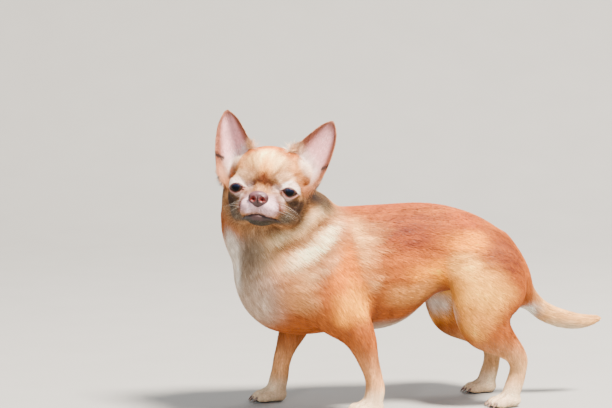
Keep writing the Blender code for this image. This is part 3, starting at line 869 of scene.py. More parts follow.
# %% Colours of the ears, and all of them on the skin
EAR_SKIN, EAR_DOWN, EAR_WHITE = (0.76, 0.36, 0.38), (0.82, 0.45, 0.46), (0.96, 0.82, 0.74)
EAR_RIM, EAR_BACK, EAR_ROOT = (0.205, 0.056, 0.012), (0.5, 0.19, 0.06), (0.6, 0.34, 0.16)
EAR_POCKET_SHADE, EAR_FRINGE, EAR_FOOT = (0.024, 0.01, 0.007), (0.52, 0.165, 0.03), (0.9, 0.48, 0.26)
EAR_POCKET = [(30.5, 27.5), (28.0, 26.0), (25.5, 23.5)]
TOE_SHADE, PAD_TONE = (0.3, 0.19, 0.11), (0.1, 0.06, 0.055)


def ear_colours(colours, ears, inner):
    mask, inside = ears.mask(), ease(ears.inside, -0.2, 0.3)
    edge = np.minimum(ears.across, 1 - ears.across)
    rim = np.maximum(1 - ease(edge, 0.07, 0.27), ease(ears.height, 0.72, 0.95))
    rim = rim * ease(ears.height, 0.14, 0.34)
    front = np.tile(np.array(inner), (len(colours), 1))
    front = blend(front, (1 - ease(ears.height, 0.16, 0.46)) * 0.9, EAR_WHITE)
    front = blend(front, rim * 0.9, EAR_RIM)
    fringe = ease(ears.across, 0.66, 0.9) * (1 - ease(ears.height, 0.16, 0.42))
    front = blend(front, fringe * 0.9, EAR_FRINGE)
    foot = (1 - ease(ears.across, 0.06, 0.26)) * (1 - ease(ears.height, 0.22, 0.42))
    front = blend(front, foot * 0.85, EAR_FOOT)
    # The pocket's slit is painted shade.
    pocket_shade = near_line(ears.across * 30, ears.height * 60, EAR_POCKET)
    front = blend(front, 1 - ease(pocket_shade, 0.7, 1.8), EAR_POCKET_SHADE)
    back = np.tile(np.array(EAR_BACK), (len(colours), 1))
    back = blend(back, 1 - ease(ears.height, 0.05, 0.3), EAR_ROOT)
    both = back + (front - back) * inside[:, None]
    return colours + (both - colours) * mask[:, None]


def markings(points, ears, inner):
    local, body = to_head(points), to_body(points)
    colours = neck_colours(limb_colours(trunk_colours(body), body), body)
    colours = blend(colours, toe_grooves(body) * 0.6, TOE_SHADE)
    head = headness(local)[:, None]
    colours = colours + (head_colours(local) - colours) * head
    return ear_colours(colours, ears, inner)


points = points_of(skin)
local, body = to_head(points), to_body(points)
ears = EarMap(local)
coat_tones = markings(points, ears, EAR_DOWN)
skin_tones = bare_colours(markings(points, ears, EAR_SKIN), local)
skin_tones = blend(skin_tones, 1 - ease(body[:, 2], 0.8, 2.6), PAD_TONE)
paint_points(skin, "tone", skin_tones * 0.85)
print("mean coat tone", coat_tones.mean(0).round(3))

# %% [markdown]
# ## The skin's finish
# Colour comes from the painted attribute.  A fine mottling and a bump of short hair, in the
# piece's own coordinates, keep it from looking like plain plastic where it shows between tufts.

# %% Materials with nodes
def new_material(name, roughness, specular=0.3):
    material = bpy.data.materials.new(name)
    material.use_nodes = True
    shader = material.node_tree.nodes["Principled BSDF"]
    shader.inputs["Roughness"].default_value = roughness
    shader.inputs["Specular IOR Level"].default_value = specular
    return material, material.node_tree, shader


def node(tree, kind, **values):
    made = tree.nodes.new(kind)
    for name, value in values.items():
        made.inputs[name.replace("_", " ")].default_value = value
    return made


def object_noise(tree, scale, detail=3.0):
    place = tree.nodes.new("ShaderNodeTexCoord")
    texture = node(tree, "ShaderNodeTexNoise", Scale=scale, Detail=detail)
    tree.links.new(place.outputs["Object"], texture.inputs["Vector"])
    return texture


def mottled(tree, shader, attribute, scale, low, high):
    """The painted colour times a gentle noise."""
    paint = tree.nodes.new("ShaderNodeVertexColor")
    paint.layer_name = attribute
    texture = object_noise(tree, scale)
    ramp = node(tree, "ShaderNodeMapRange", From_Min=0.3, From_Max=0.7, To_Min=low, To_Max=high)
    tree.links.new(texture.outputs["Fac"], ramp.inputs["Value"])
    mix = tree.nodes.new("ShaderNodeVectorMath")
    mix.operation = "SCALE"
    tree.links.new(paint.outputs["Color"], mix.inputs[0])
    tree.links.new(ramp.outputs["Result"], mix.inputs["Scale"])
    tree.links.new(mix.outputs["Vector"], shader.inputs["Base Color"])


def two_tone(name, finish, noise_values, dark, light, places=(0.0, 1.0)):
    """A material that runs between two colours with a noise, which it gives back too."""
    material, tree, shader = new_material(name, *finish)
    texture = object_noise(tree, *noise_values)
    ramp = tree.nodes.new("ShaderNodeValToRGB")
    for element, colour, place in zip(ramp.color_ramp.elements, (dark, light), places):
        element.color, element.position = (*colour, 1), place
    tree.links.new(texture.outputs["Fac"], ramp.inputs["Fac"])
    tree.links.new(ramp.outputs["Color"], shader.inputs["Base Color"])
    return material, tree, shader, texture.outputs["Fac"]


def bump(tree, shader, height, distance, strength=1.0):
    relief = node(tree, "ShaderNodeBump", Strength=strength, Distance=distance)
    tree.links.new(height, relief.inputs["Height"])
    tree.links.new(relief.outputs["Normal"], shader.inputs["Normal"])


skin_finish, tree, shader = new_material("dog_skin", 0.55, 0.35)
mottled(tree, shader, "tone", 260.0, 0.82, 1.12)
bump(tree, shader, object_noise(tree, 1500.0, 4.0).outputs["Fac"], 0.0004, 0.6)
skin.data.materials.append(skin_finish)
print("finish:", skin_finish.name)

# %% [markdown]
# ## The eyes
# Each eye is a ball as large as the CAD's, hidden but for the opening between the lids.  A sphere
# is added at its place, with its pole turned towards what the dog looks at, and its front is
# raised a little, as the cornea is.

# %% Eyeballs
def head_vector(side, vector):
    return Vector((np.array(vector) * [side, 1, 1]) @ HEAD_AXES)


def make_eyeball(name, side):
    centre = from_head(EYE_PLACE * [side, 1, 1])
    gaze = head_vector(side, EYE_GAZE)
    deselect()
    bpy.ops.mesh.primitive_uv_sphere_add(segments=96, ring_count=64, radius=EYE_RADIUS * MM)
    eye = bpy.context.object
    eye.name = name
    points = points_of(eye)
    polar = points[:, 2] / (EYE_RADIUS * MM)
    lift = 1 + 0.055 * ease(polar, 0.78, 0.93)
    turn = np.array(gaze.to_track_quat("Z", "Y").to_matrix())
    put_points(eye, (points * lift[:, None]) @ turn.T + centre)
    # The height is kept for the painted reflection of the sky in the eye's upper half.
    height = ease(to_head(points_of(eye))[:, 2], -1.5, 2.5)
    paint_points(eye, "gaze", np.stack([(1 - polar) / 2, height, 0 * height], 1))
    select_only(eye)
    bpy.ops.object.shade_smooth()
    return eye


eyeballs = [make_eyeball("eyeball_left", 1), make_eyeball("eyeball_right", -1)]
print("eyeballs:", [eye.name for eye in eyeballs])

# %% [markdown]
# Rings of iris and pupil follow an attribute that tells how far a point is from the pole.  A
# second value in it, the height, brings a faint painted reflection of the blue sky into the upper half.

# %% Iris, pupil and a painted sky reflection
EYE_RINGS = [
    (0.0, (0.002, 0.002, 0.003)),
    (0.036, (0.002, 0.002, 0.003)),
    (0.044, (0.03, 0.013, 0.006)),
    (0.095, (0.045, 0.019, 0.008)),
    (0.125, (0.01, 0.006, 0.005)),
    (0.2, (0.22, 0.13, 0.11)),
]


def eye_finish():
    material, tree, shader = new_material("eye_wet", 0.25, 0.0)
    gaze = tree.nodes.new("ShaderNodeVertexColor")
    gaze.layer_name = "gaze"
    ramp = tree.nodes.new("ShaderNodeValToRGB")
    while len(ramp.color_ramp.elements) < len(EYE_RINGS):
        ramp.color_ramp.elements.new(0.5)
    for element, (place, colour) in zip(ramp.color_ramp.elements, EYE_RINGS):
        element.position = place
        element.color = (*colour, 1)
    parts = tree.nodes.new("ShaderNodeSeparateColor")
    tree.links.new(gaze.outputs["Color"], parts.inputs["Color"])
    tree.links.new(parts.outputs["Red"], ramp.inputs["Fac"])
    fibres = object_noise(tree, 1400.0, 5.0)
    iris = tree.nodes.new("ShaderNodeMix")
    iris.data_type, iris.blend_type = "RGBA", "MULTIPLY"
    iris.inputs["Factor"].default_value = 0.4
    tree.links.new(ramp.outputs["Color"], iris.inputs[6])
    tree.links.new(fibres.outputs["Color"], iris.inputs[7])
    painted_sky_reflection = tree.nodes.new("ShaderNodeMix")
    painted_sky_reflection.data_type = "RGBA"
    painted_sky_reflection.inputs[7].default_value = (0.014, 0.02, 0.048, 1)
    faint = node(tree, "ShaderNodeMapRange", To_Max=0.55)
    tree.links.new(parts.outputs["Green"], faint.inputs["Value"])
    tree.links.new(faint.outputs["Result"], painted_sky_reflection.inputs["Factor"])
    tree.links.new(iris.outputs[2], painted_sky_reflection.inputs[6])
    tree.links.new(painted_sky_reflection.outputs[2], shader.inputs["Base Color"])
    shader.inputs["Coat Weight"].default_value = 1.0
    shader.inputs["Coat Roughness"].default_value = 0.02
    shader.inputs["Coat IOR"].default_value = 1.15
    return material


wet_eye = eye_finish()
for eye in eyeballs:
    eye.data.materials.append(wet_eye)
print("finish:", wet_eye.name)

# %% [markdown]
# Rims, claws and whiskers are all tubes: rings round a path, with a radius for each ring.

# %% A tube along a path
def tube(name, path, radii, sides=10, closed=False):
    """A mesh tube along a path in metres; unless it is a closed ring, each end has a fan of faces."""
    path, radii = np.asarray(path), np.broadcast_to(radii, len(path))
    count = len(path)
    if closed:
        along = unit(np.roll(path, -1, 0) - np.roll(path, 1, 0))
    else:
        along = unit(np.gradient(path, axis=0))
    up = np.tile(np.array([0.1, 0.2, 1.0]), (count, 1))
    across = unit(np.cross(along, up))
    up = np.cross(across, along)
    angle = np.linspace(0, 2 * math.pi, sides, endpoint=False)
    ring = across[:, None] * np.cos(angle)[None, :, None] + up[:, None] * np.sin(angle)[None, :, None]
    points = (path[:, None] + ring * np.asarray(radii)[:, None, None]).reshape(-1, 3)
    faces = []
    for i in range(count if closed else count - 1):
        j = (i + 1) % count
        for k in range(sides):
            n = (k + 1) % sides
            faces.append((i * sides + k, i * sides + n, j * sides + n))
            faces.append((i * sides + k, j * sides + n, j * sides + k))
    if not closed:
        points = np.concatenate([points, path[:1], path[-1:]])
        first, last, end = count * sides, count * sides + 1, (count - 1) * sides
        for k in range(sides):
            n = (k + 1) % sides
            faces.append((first, n, k))
            faces.append((last, end + k, end + n))
    return mesh_piece(name, points, faces)


print("tubes can be made")

# %% [markdown]
# Round the opening runs the lid's own wet rim, a thin tube on the almond line, and in the inner
# corner sits a small lump.  Both are joined into one piece for each eye.

# %% Lid rims
RIM_RADIUS = 0.36


def lid_rim(name, side):
    turn = np.linspace(0, 2 * math.pi, 72, endpoint=False)
    out = LID_HALF * np.cos(turn)
    _, top, low = lid_heights(out)
    up = np.where(np.sin(turn) >= 0, top, low)
    flat = np.stack([out / EYE_RADIUS, up / EYE_RADIUS], 1)
    ahead = np.sqrt(np.clip(1 - (flat**2).sum(1), 0, 1))
    way = flat[:, :1] * EYE_OUT + flat[:, 1:] * [0, 0, 1] + ahead[:, None] * EYE_GAZE
    path = from_head((EYE_PLACE + way * (EYE_RADIUS + 0.25)) * [side, 1, 1])
    rim = tube(name, path, RIM_RADIUS * MM, closed=True)
    deselect()
    corner = from_head((EYE_PLACE + unit(np.array([-6.0, 0, 0]) + EYE_GAZE * 7.4) * 9.3) * [side, 1, 1])
    corner += np.array(head_vector(side, (0, 0, -1.3))) * MM
    bpy.ops.mesh.primitive_ico_sphere_add(subdivisions=3, radius=1.15 * MM, location=corner)
    rim = join_as(name, [rim, bpy.context.object])
    face_outwards(rim)
    return rim


RIM_DARK, RIM_LIGHT = (0.06, 0.022, 0.018), (0.2, 0.07, 0.055)
rim_finish, tree, shader, height = two_tone(
    "lid_rim", (0.25, 0.5), (320.0, 3.0), RIM_DARK, RIM_LIGHT, (0.4, 0.62)
)
bump(tree, shader, height, 0.0002)
rims = [lid_rim("lid_rim_left", 1), lid_rim("lid_rim_right", -1)]
for rim in rims:
    rim.data.materials.append(rim_finish)
print("rims have", len(rims[0].data.polygons), "faces each")

# %% [markdown]
# ## The nose leather
# A moist, pebbled pad, wide above and narrower below, with two comma-shaped nostrils and a
# groove down its middle.  A sphere's points are moved by rule, and the colours are painted by
# the depth: red inside the nostrils and painted shade at the bottom of each hole, and lighter
# on the top, where light from above is painted in.

# %% Nose
def nostril_depth(side, up):
    """0 outside, 1 in the middle of the hole; the tail of the comma runs outwards and down."""
    hole = np.exp(-(((side - 3.9) / 1.75) ** 2) - ((up + 0.2) / 1.75) ** 2)
    tail = bell(near_line(side, up, [(4.6, 0.2), (6.4, -0.9), (7.6, -2.6)]), 0.62)
    return hole, tail


def make_nose():
    deselect()
    upright = (math.pi / 2, 0, 0)
    bpy.ops.mesh.primitive_uv_sphere_add(segments=128, ring_count=96, radius=1.0, rotation=upright)
    bpy.ops.object.transform_apply(location=False, rotation=True, scale=False)
    nose = bpy.context.object
    nose.name = "nose_leather"
    way = points_of(nose) * [1, -1, 1]
    front = ease(way[:, 1], -0.1, 0.6)
    local = way * NOSE_HALF * 1.1
    local[:, 0] *= 1 + 0.1 * way[:, 2] - 0.12 * ease(-way[:, 2], 0.3, 1.0)
    local[:, 1] -= 1.1 * ease(way[:, 1], 0.75, 1.0)
    local[:, 1] -= 1.3 * ease(-way[:, 2], 0.1, 0.9) * front
    side, up = np.abs(local[:, 0]), local[:, 2]
    hole, tail = nostril_depth(side, up)
    ring = bell(np.hypot(side - 3.9, up + 0.2) - 2.7, 0.8)
    groove = bell(side, 0.42) * (1 - ease(up, 0.5, 2.6))
    local += unit(way) * (0.35 * ring * front - 0.75 * groove * front)[:, None]
    local[:, 1] -= (3.2 * hole + 1.3 * tail) * front
    put_points(nose, from_head(local + NOSE_PLACE))
    deep = np.clip(hole * 1.5 + 0.8 * tail, 0, 1) * front
    colours = np.tile(np.array([0.038, 0.011, 0.012]), (len(local), 1))
    # Lighter on the top: painted light from above.
    colours = blend(colours, ease(up, 1.0, 5.0) * 0.8, (0.13, 0.052, 0.065))
    colours = blend(colours, ring * front * 0.35, (0.095, 0.032, 0.034))
    colours = blend(colours, deep, (0.22, 0.025, 0.02))
    # Near black at the bottom of each hole: painted shade.
    colours = blend(colours, ease(hole, 0.72, 0.98) * front, (0.03, 0.006, 0.006))
    paint_points(nose, "tone", blend(colours, groove * front * 0.6, (0.05, 0.018, 0.018)))
    face_outwards(nose)
    return nose


nose = make_nose()
nose_finish, tree, shader = new_material("nose_leather", 0.36, 0.5)
mottled(tree, shader, "tone", 420.0, 0.8, 1.2)
pebbles = node(tree, "ShaderNodeTexVoronoi", Scale=1150.0)
tree.links.new(tree.nodes.new("ShaderNodeTexCoord").outputs["Object"], pebbles.inputs["Vector"])
bump(tree, shader, pebbles.outputs["Distance"], 0.00035, 0.7)
nose.data.materials.append(nose_finish)
print("nose leather spans", (np.ptp(points_of(nose), axis=0) * 1000).round(1), "mm")

# %% [markdown]
# ## Claws
# A claw is a short curved horn: a tube of seven rings that grow smaller along an arc bent down.
# One is made for each toe, where it starts inside the toe and points forward and down, and the
# sixteen are joined into one piece.

# %% Claws on sixteen toes
def make_claw(length, toe):
    """A horn from inside the toe: rings along an arc that bends down."""
    steps = np.linspace(0, 1, 7)
    bend = 0.35 + 0.75 * steps
    forward = np.concatenate([[0], np.cumsum(np.cos(bend[:-1]) * length * 1.25 / 6)])
    drop = np.concatenate([[0], np.cumsum(np.sin(bend[:-1]) * length * 1.25 / 6)])
    path = np.stack([np.zeros(7), -(toe * 0.75 + forward), toe * 0.98 - drop], 1)
    path[:, 2] = np.maximum(path[:, 2], 0.7)
    radii = np.array([1.45, 1.4, 1.25, 1.05, 0.8, 0.5, 0.05])
    return tube("claw", path, radii, sides=12)


def make_claws():
    claws = []
    for foot, heading, sizes in PAWS.values():
        for place in TOE_PLACES:
            claw = make_claw(sizes[3], sizes[2])
            start, turn = toe_frame(foot, heading, sizes, place)
            points = points_of(claw) @ np.array(turn).T + np.array(start)
            put_points(claw, from_body(points))
            claws.append(claw)
    joined = join_as("claws", claws)
    face_outwards(joined)
    return joined


claws = make_claws()
HORN_DARK, HORN_LIGHT = (0.09, 0.05, 0.035), (0.34, 0.22, 0.16)
claw_finish, tree, shader, height = two_tone(
    "claw_horn", (0.35, 0.5), (380.0, 3.0), HORN_DARK, HORN_LIGHT, (0.35, 0.7)
)
bump(tree, shader, height, 0.0003)
claws.data.materials.append(claw_finish)
print("claws:", len(PAWS) * len(TOE_PLACES))

# %% [markdown]
# ## Which way the coat lies
# Hair lies from the nose back over the head, down the neck and chest, back along the trunk, down
# the legs and along the tail.  Each skin point gets a direction from a short list of areas, laid
# flat on the skin and then evened out between neighbours.

# %% The lie of the coat
NOSE_TIP = np.array([0.0, 49.0, -7.0])
TRUNK_WAYS = [
    ((40, -20, 120), (60, 130, 70), (0, 1, -0.42)),
    ((0, -40, 196), (60, 140, 22), (0, 1, -0.1)),
    ((6, -136, 176), (90, 60, 80), (0.1, 0.62, -0.8)),
    ((10, -178, 125), (80, 48, 75), (0.05, 0.15, -1)),
    ((44, -100, 112), (34, 40, 46), (0, 0.35, -1)),
    ((42, 42, 108), (34, 44, 46), (0, 0.7, -0.75)),
    ((30, 92, 120), (60, 28, 50), (0, 0.4, -1)),
]


def body_ways(body):
    flat = mirrored(body)
    ways = np.tile(np.array([0, 1.0, -0.25]), (len(body), 1))
    for centre, radii, way in TRUNK_WAYS:
        ways = blend(ways, blob(flat, centre, radii), way)
    fore = (1 - ease(body[:, 2], 62, 96)) * (body[:, 1] < -40) * (flat[:, 0] > 25)
    ways = blend(ways, fore, (0, 0.1, -1))
    hind = (1 - ease(body[:, 2], 55, 84)) * (body[:, 1] > 20) * (body[:, 1] < 96)
    ways = blend(ways, hind, (0, 0.3, -1))
    tail = ease(body[:, 1], 94, 106) * (body[:, 2] > 55)
    ways = blend(ways, tail * (1 - ease(body[:, 1], 106, 124)), (0, 0.7, -0.72))
    ways = blend(ways, tail * ease(body[:, 1], 112, 130), (0, 1.0, -0.12))
    return blend(ways, 1 - ease(body[:, 2], 12, 20), (0, -1, -0.4))


def coat_ways(points, normals, ears):
    local, body = to_head(points), to_body(points)
    ways = unit(body_ways(body))
    away = unit(local - NOSE_TIP) + np.array([0, -0.35, 0])
    away[:, 0] += 0.35 * np.sign(local[:, 0]) * ease(np.abs(local[:, 0]), 3, 14)
    head_ways = unit(away) @ HEAD_AXES
    ways = ways + (head_ways - ways) * headness(local)[:, None]
    spread = (ears.across - 0.5) * 1.3 * ease(ears.inside, -0.2, 0.3) * (1 - ease(ears.height, 0.5, 0.9))
    ear_ways = unit(ears.upward) + unit(ears.outward) * spread[:, None]
    low = (1 - ease(ears.height, 0.14, 0.34))[:, None]
    fringe = ease(ears.across, 0.6, 0.85)[:, None] * low
    foot = (1 - ease(ears.across, 0.08, 0.28))[:, None] * low
    ear_ways += (unit(ears.outward) * 1.0 - unit(ears.upward) * 0.9 - ear_ways) * fringe
    ear_ways += (unit(ears.upward) * 0.5 - unit(ears.outward) * 1.0 - ear_ways) * foot
    ear_ways = unit(ear_ways) @ HEAD_AXES
    ways = ways + (ear_ways - ways) * ears.mask()[:, None]
    return unit(ways - normals * (ways * normals).sum(1)[:, None])


normals = normals_of(skin)
ways = coat_ways(points, normals, ears)
ways = smooth_points(ways, edges_of(skin), np.full(len(ways), 0.6), 12)
ways = unit(ways - normals * (ways * normals).sum(1)[:, None])
print("coat lies on the back along", ways[np.argmax(points[:, 2] * (body[:, 1] > -60))].round(2))

# %% [markdown]
# ## How long and how dense
# A chihuahua's smooth coat is about a centimetre long on the trunk, a little more on neck and
# tail, and only a few millimetres on the head, the ears and the feet.  The masks of before give
# each skin point a length, a width and a number of tufts for each square millimetre.  On the
# ears' fringes and just before the ears the hair stands free of the skin.

# %% Length, width and density of the tufts
TRUNK_HAIR, CROWN_HAIR, PAW_HAIR, EAR_HAIR = 9.0, 6.6, 2.4, 3.4
RUFF_EXTRA, TAIL_EXTRA, CHEEK_EXTRA, EAR_ROOT_EXTRA, FREE_EXTRA = 3.5, 5.0, 1.6, 3.4, 3.0
LEG_LESS, MUZZLE_LESS = 2.5, 3.2
TRUNK_WIDTH, EAR_WIDTH = 0.46, 0.25
EAR_BACK_DENSITY = 2.3


def coat_plan(points, ears):
    local, body = to_head(points), to_body(points)
    head, paw, ear = headness(local), paw_mask(body), ears.mask()
    length = np.full(len(points), TRUNK_HAIR)
    length += RUFF_EXTRA * blob(body, *RUFF) + TAIL_EXTRA * ease(body[:, 1], 96, 125)
    length -= LEG_LESS * (1 - ease(body[:, 2], 45, 100)) * (body[:, 1] < 96)
    front = ease(local[:, 1], -12, 30)
    length = mix(length, CROWN_HAIR - MUZZLE_LESS * front, head)
    length += CHEEK_EXTRA * blob(mirrored(local), (34, 4, -22), (18, 24, 18)) * head
    length = mix(length, PAW_HAIR, paw)
    far, _, _ = past_lids(local)
    length *= 0.55 + 0.45 * ease(far, 1.0, 9.0)
    inside = ease(ears.inside, -0.2, 0.3)
    near_base = 1 - ease(ears.height, 0.1, 0.42)
    ear_length = EAR_HAIR + inside * (2.6 * near_base - 0.4)
    ear_length += EAR_ROOT_EXTRA * (1 - ease(ears.height, 0.05, 0.34))
    length = mix(length, ear_length, ear)
    width = TRUNK_WIDTH - 0.2 * head - 0.08 * paw
    width = mix(width, EAR_WIDTH, ear)
    density = 1.0 + 3.4 * head * (0.3 + 0.7 * ease(local[:, 1], -30, 12)) + 1.5 * paw
    edge = np.minimum(ears.across, 1 - ears.across)
    inner = 0.35 + 2.6 * near_base + 2.2 * (1 - ease(edge, 0.03, 0.13))
    density = mix(density, mix(EAR_BACK_DENSITY, inner, inside), ear)
    side, from_mouth = np.abs(local[:, 0]), local[:, 2] - mouth_line(local[:, 0])
    height = LIP_HEIGHT * (1 - 0.65 * ease(side, 2, MOUTH_HALF))
    lips = (np.abs(from_mouth + 0.35 * height) < 0.36 * height) & (side < MOUTH_HALF + 1)
    lips &= local[:, 1] > 20
    nose_size = np.linalg.norm((local - NOSE_PLACE) / NOSE_HALF, axis=1)
    bare = (far < 0.7) | lips | (nose_size < 1.1) | (body[:, 2] < 1.2)
    return length, width, np.where(bare, 0.0, density)


def free_hair(points, ears):
    """1 where hair stands free of the skin: the fringes of the ears and the fluff before them."""
    local = to_head(points)
    low = ears.mask() * (1 - ease(ears.height, 0.16, 0.42))
    fringe = low * np.maximum(ease(ears.across, 0.66, 0.92), 1 - ease(ears.across, 0.08, 0.3))
    return np.maximum(fringe, blob(mirrored(local), (36, -2, 20), (14, 16, 24)) * headness(local))


length, width, density = coat_plan(points, ears)
free = free_hair(points, ears)
length += FREE_EXTRA * free * headness(local)
print("tufts are", length.min().round(1), "to", length.max().round(1), "mm long")

# %% [markdown]
# ## The tufts
# A tuft is a slim closed spindle of six triangles: a root under the skin, a ridged middle and a
# tip.  Its middle and tip are laid over the nearest skin, so it follows the form and overlaps
# the next tufts like tiles.  Only six faces each is what allows a quarter of a million.

# %% Roots on the skin
TUFTS = 240000
SINK, MIDDLE_RISE, TIP_RISE = 0.35, 0.045, 0.035


def scatter(points, triangles, density, count):
    """Seeded roots, as many in each place as the density asks: triangle and weights of each."""
    corners = points[triangles]
    a, b, c = (corners[:, k] for k in range(3))
    area = 0.5 * np.linalg.norm(np.cross(b - a, c - a), axis=1)
    share = np.cumsum(area * density[triangles].min(1))
    places = (np.arange(count) + RANDOM.random(count)) / count * share[-1]
    chosen = np.minimum(np.searchsorted(share, places), len(triangles) - 1)
    a, b = np.sqrt(RANDOM.random(count)), RANDOM.random(count)
    return triangles[chosen], np.stack([1 - a, a * (1 - b), a * b], 1), share[-1] / MM**2


def at_roots(values, corners, weights):
    values = values.reshape(len(values), -1)
    return (values[corners] * weights[..., None]).sum(1)


triangles = triangles_of(skin)
corners, weights, wanted = scatter(points, triangles, density, TUFTS)
roots = at_roots(points, corners, weights)
root_normals = unit(at_roots(normals, corners, weights))
root_ways = at_roots(ways, corners, weights)
print("roots:", len(roots), "of", int(wanted), "that the plan would give")

# %% [markdown]
# From each root the tuft sets out along the lie of the coat, and its middle and its tip are put
# on the nearest skin again, lifted a little so that tufts lie over one another.

# %% Lay each tuft over the skin
def nearest_on(tree, points):
    """The nearest skin place and its normal for each point."""
    found, facing = np.empty_like(points), np.empty_like(points)
    for i, point in enumerate(points):
        place, normal, _, _ = tree.find_nearest(point)
        found[i], facing[i] = place, normal
    return found, facing


def lay_tufts():
    size = at_roots(np.stack([length, width], 1), corners, weights) * MM
    loose = at_roots(free, corners, weights)
    size[:, 0] *= RANDOM.uniform(0.7, 1.25, len(roots))
    size[:, 1] *= RANDOM.uniform(0.75, 1.3, len(roots))
    body = to_body(roots)
    swing = RANDOM.normal(0, 0.1, len(roots)) * (1 + 2.5 * loose[:, 0]) + 0.04 * noise(body, 18)
    across = unit(np.cross(root_ways, root_normals))
    way = unit(unit(root_ways) * np.cos(swing)[:, None] + across * np.sin(swing)[:, None])
    way = unit(way + root_normals * loose * RANDOM.uniform(0.0, 0.7, (len(roots), 1)))
    lift = RANDOM.uniform(0.15, 1.3, len(roots))
    tree = BVHTree.FromPolygons(points.tolist(), triangles.tolist())
    middle, middle_up = nearest_on(tree, roots + way * size[:, :1] * 0.48)
    tip, tip_up = nearest_on(tree, roots + way * size[:, :1])
    middle += (roots + way * size[:, :1] * 0.48 - middle) * loose
    tip += (roots + way * size[:, :1] - tip) * loose
    middle_up = unit(middle_up + root_normals)
    middle += middle_up * (size[:, 0] * MIDDLE_RISE * lift + 0.1 * MM)[:, None]
    tip += unit(tip_up + root_normals) * (size[:, 0] * TIP_RISE * lift + 0.06 * MM)[:, None]
    side = unit(np.cross(tip - roots, middle_up)) * size[:, 1:] * 0.5
    return np.stack([roots - root_normals * SINK * MM, middle + side, middle - side,
                     middle + middle_up * size[:, 1:] * 0.24, tip], 1)


TUFT_FACES = np.array([(0, 1, 3), (0, 3, 2), (0, 2, 1), (4, 3, 1), (4, 2, 3), (4, 1, 2)])
tufts = lay_tufts()
print("tufts reach up to", tufts[..., 2].max().round(4))

# %% [markdown]
# The colour of a tuft is the marking under its root, a little darker at the root and lighter at
# the tip.  Each tuft differs a little from the next, and fine streaks follow the lie of the coat.

# %% Colours of the tufts
def streaks():
    """Light and dark streaks along the hair: from the nose outwards, along the trunk, down the legs."""
    local, body = to_head(roots), to_body(roots)
    from_nose = unit(local - NOSE_TIP) * 26 + 0.1 * (local - NOSE_TIP)
    head, high = headness(local), ease(body[:, 2], 95, 130)
    trunk = high * noise(body * [1, 0.2, 1], 3.6) + (1 - high) * noise(body * [1, 0.9, 0.25], 3.6)
    return head * noise(from_nose, 2.0) + (1 - head) * trunk


def tuft_colours():
    tones = at_roots(coat_tones, corners, weights)
    local = to_head(roots)
    dark = headness(local) * (1 - ease(tones.mean(1), 0.05, 0.3))
    spread = 0.13 + 0.05 * headness(local) + 0.3 * dark
    shade = 1 + spread * RANDOM.normal(0, 1, len(roots))
    shade = shade * (1 + (0.22 + 0.08 * headness(local)) * streaks())
    shade = np.clip(shade, 0.45, 2.4)[:, None] ** np.array([[1.0, 1.2, 1.4]])
    warm = RANDOM.normal(0.0, 0.018, (len(roots), 1)) * np.array([[0.3, 0.0, -1.0]])
    tones = np.clip(tones * shade * (1 + warm), 0.01, 0.95)
    along = np.array([0.82, 0.97, 0.97, 1.0, 1.08])
    return np.clip(tones[:, None, :] * along[None, :, None], 0, 0.97)


tuft_tones = tuft_colours()
print("mean tuft tone", tuft_tones.mean((0, 1)).round(3))

# %% [markdown]
# ## A place on the unwrap for each tuft
# So that the coat's colours can be baked, each tuft is a small patch on a UV map, at its root's
# place on an unwrap of the skin.  The unwrap is made by Smart UV Project on a light copy of the
# skin, and each root takes the place of the nearest point of that copy.

# %% Unwrap a light copy of the skin
PATCH = 0.0015
LIGHT_SHARE = 0.1


def light_copy():
    copy = bpy.data.objects.new("light_copy", skin.data.copy())
    bpy.context.scene.collection.objects.link(copy)
    apply_modifier(copy, "DECIMATE", ratio=LIGHT_SHARE)
    apply_modifier(copy, "TRIANGULATE")
    in_edit_mode(copy, bpy.ops.uv.smart_project, angle_limit=math.radians(66), island_margin=0.004)
    return copy


def root_places():
    copy = light_copy()
    places = read_rows(copy.data.uv_layers.active.data, "uv", 2).reshape(-1, 3, 2)
    corner = read_rows(copy.data.polygons, "vertices", 3, np.int32)
    spots = points_of(copy)
    tree = BVHTree.FromPolygons(spots.tolist(), corner.tolist())
    hits = [tree.find_nearest(root)[:3:2] for root in roots]
    found, chosen = np.array([hit[0] for hit in hits]), np.array([hit[1] for hit in hits])
    a, b, c = (spots[corner[chosen, k]] for k in range(3))
    normal = np.cross(b - a, c - a)
    size = np.maximum((normal**2).sum(1), 1e-20)
    v = (np.cross(found - a, c - a) * normal).sum(1) / size
    w = (np.cross(b - a, found - a) * normal).sum(1) / size
    share = np.clip(np.stack([1 - v - w, v, w], 1), 0, 1)
    result = (places[chosen] * share[..., None]).sum(1)
    bpy.data.objects.remove(copy, do_unlink=True)
    return result


PATCH_PLACES = np.array([(0, -1), (0.6, 0), (-0.6, 0), (0, 0.1), (0, 1)]) * PATCH
tuft_uv = root_places()[:, None, :] + PATCH_PLACES[None]
print("unwrap spans", tuft_uv.min((0, 1)).round(3), "to", tuft_uv.max((0, 1)).round(3))

# %% [markdown]
# ## Pieces of coat
# The tufts are joined into one mesh for each area of the body, and an area with many tufts is
# parted again, so that each piece stays light enough to be handled.  The normals of the tufts
# lean on the skin's, so that the coat takes the light as one sleek surface.

# %% Make the pieces
MOST_TUFTS = 32500


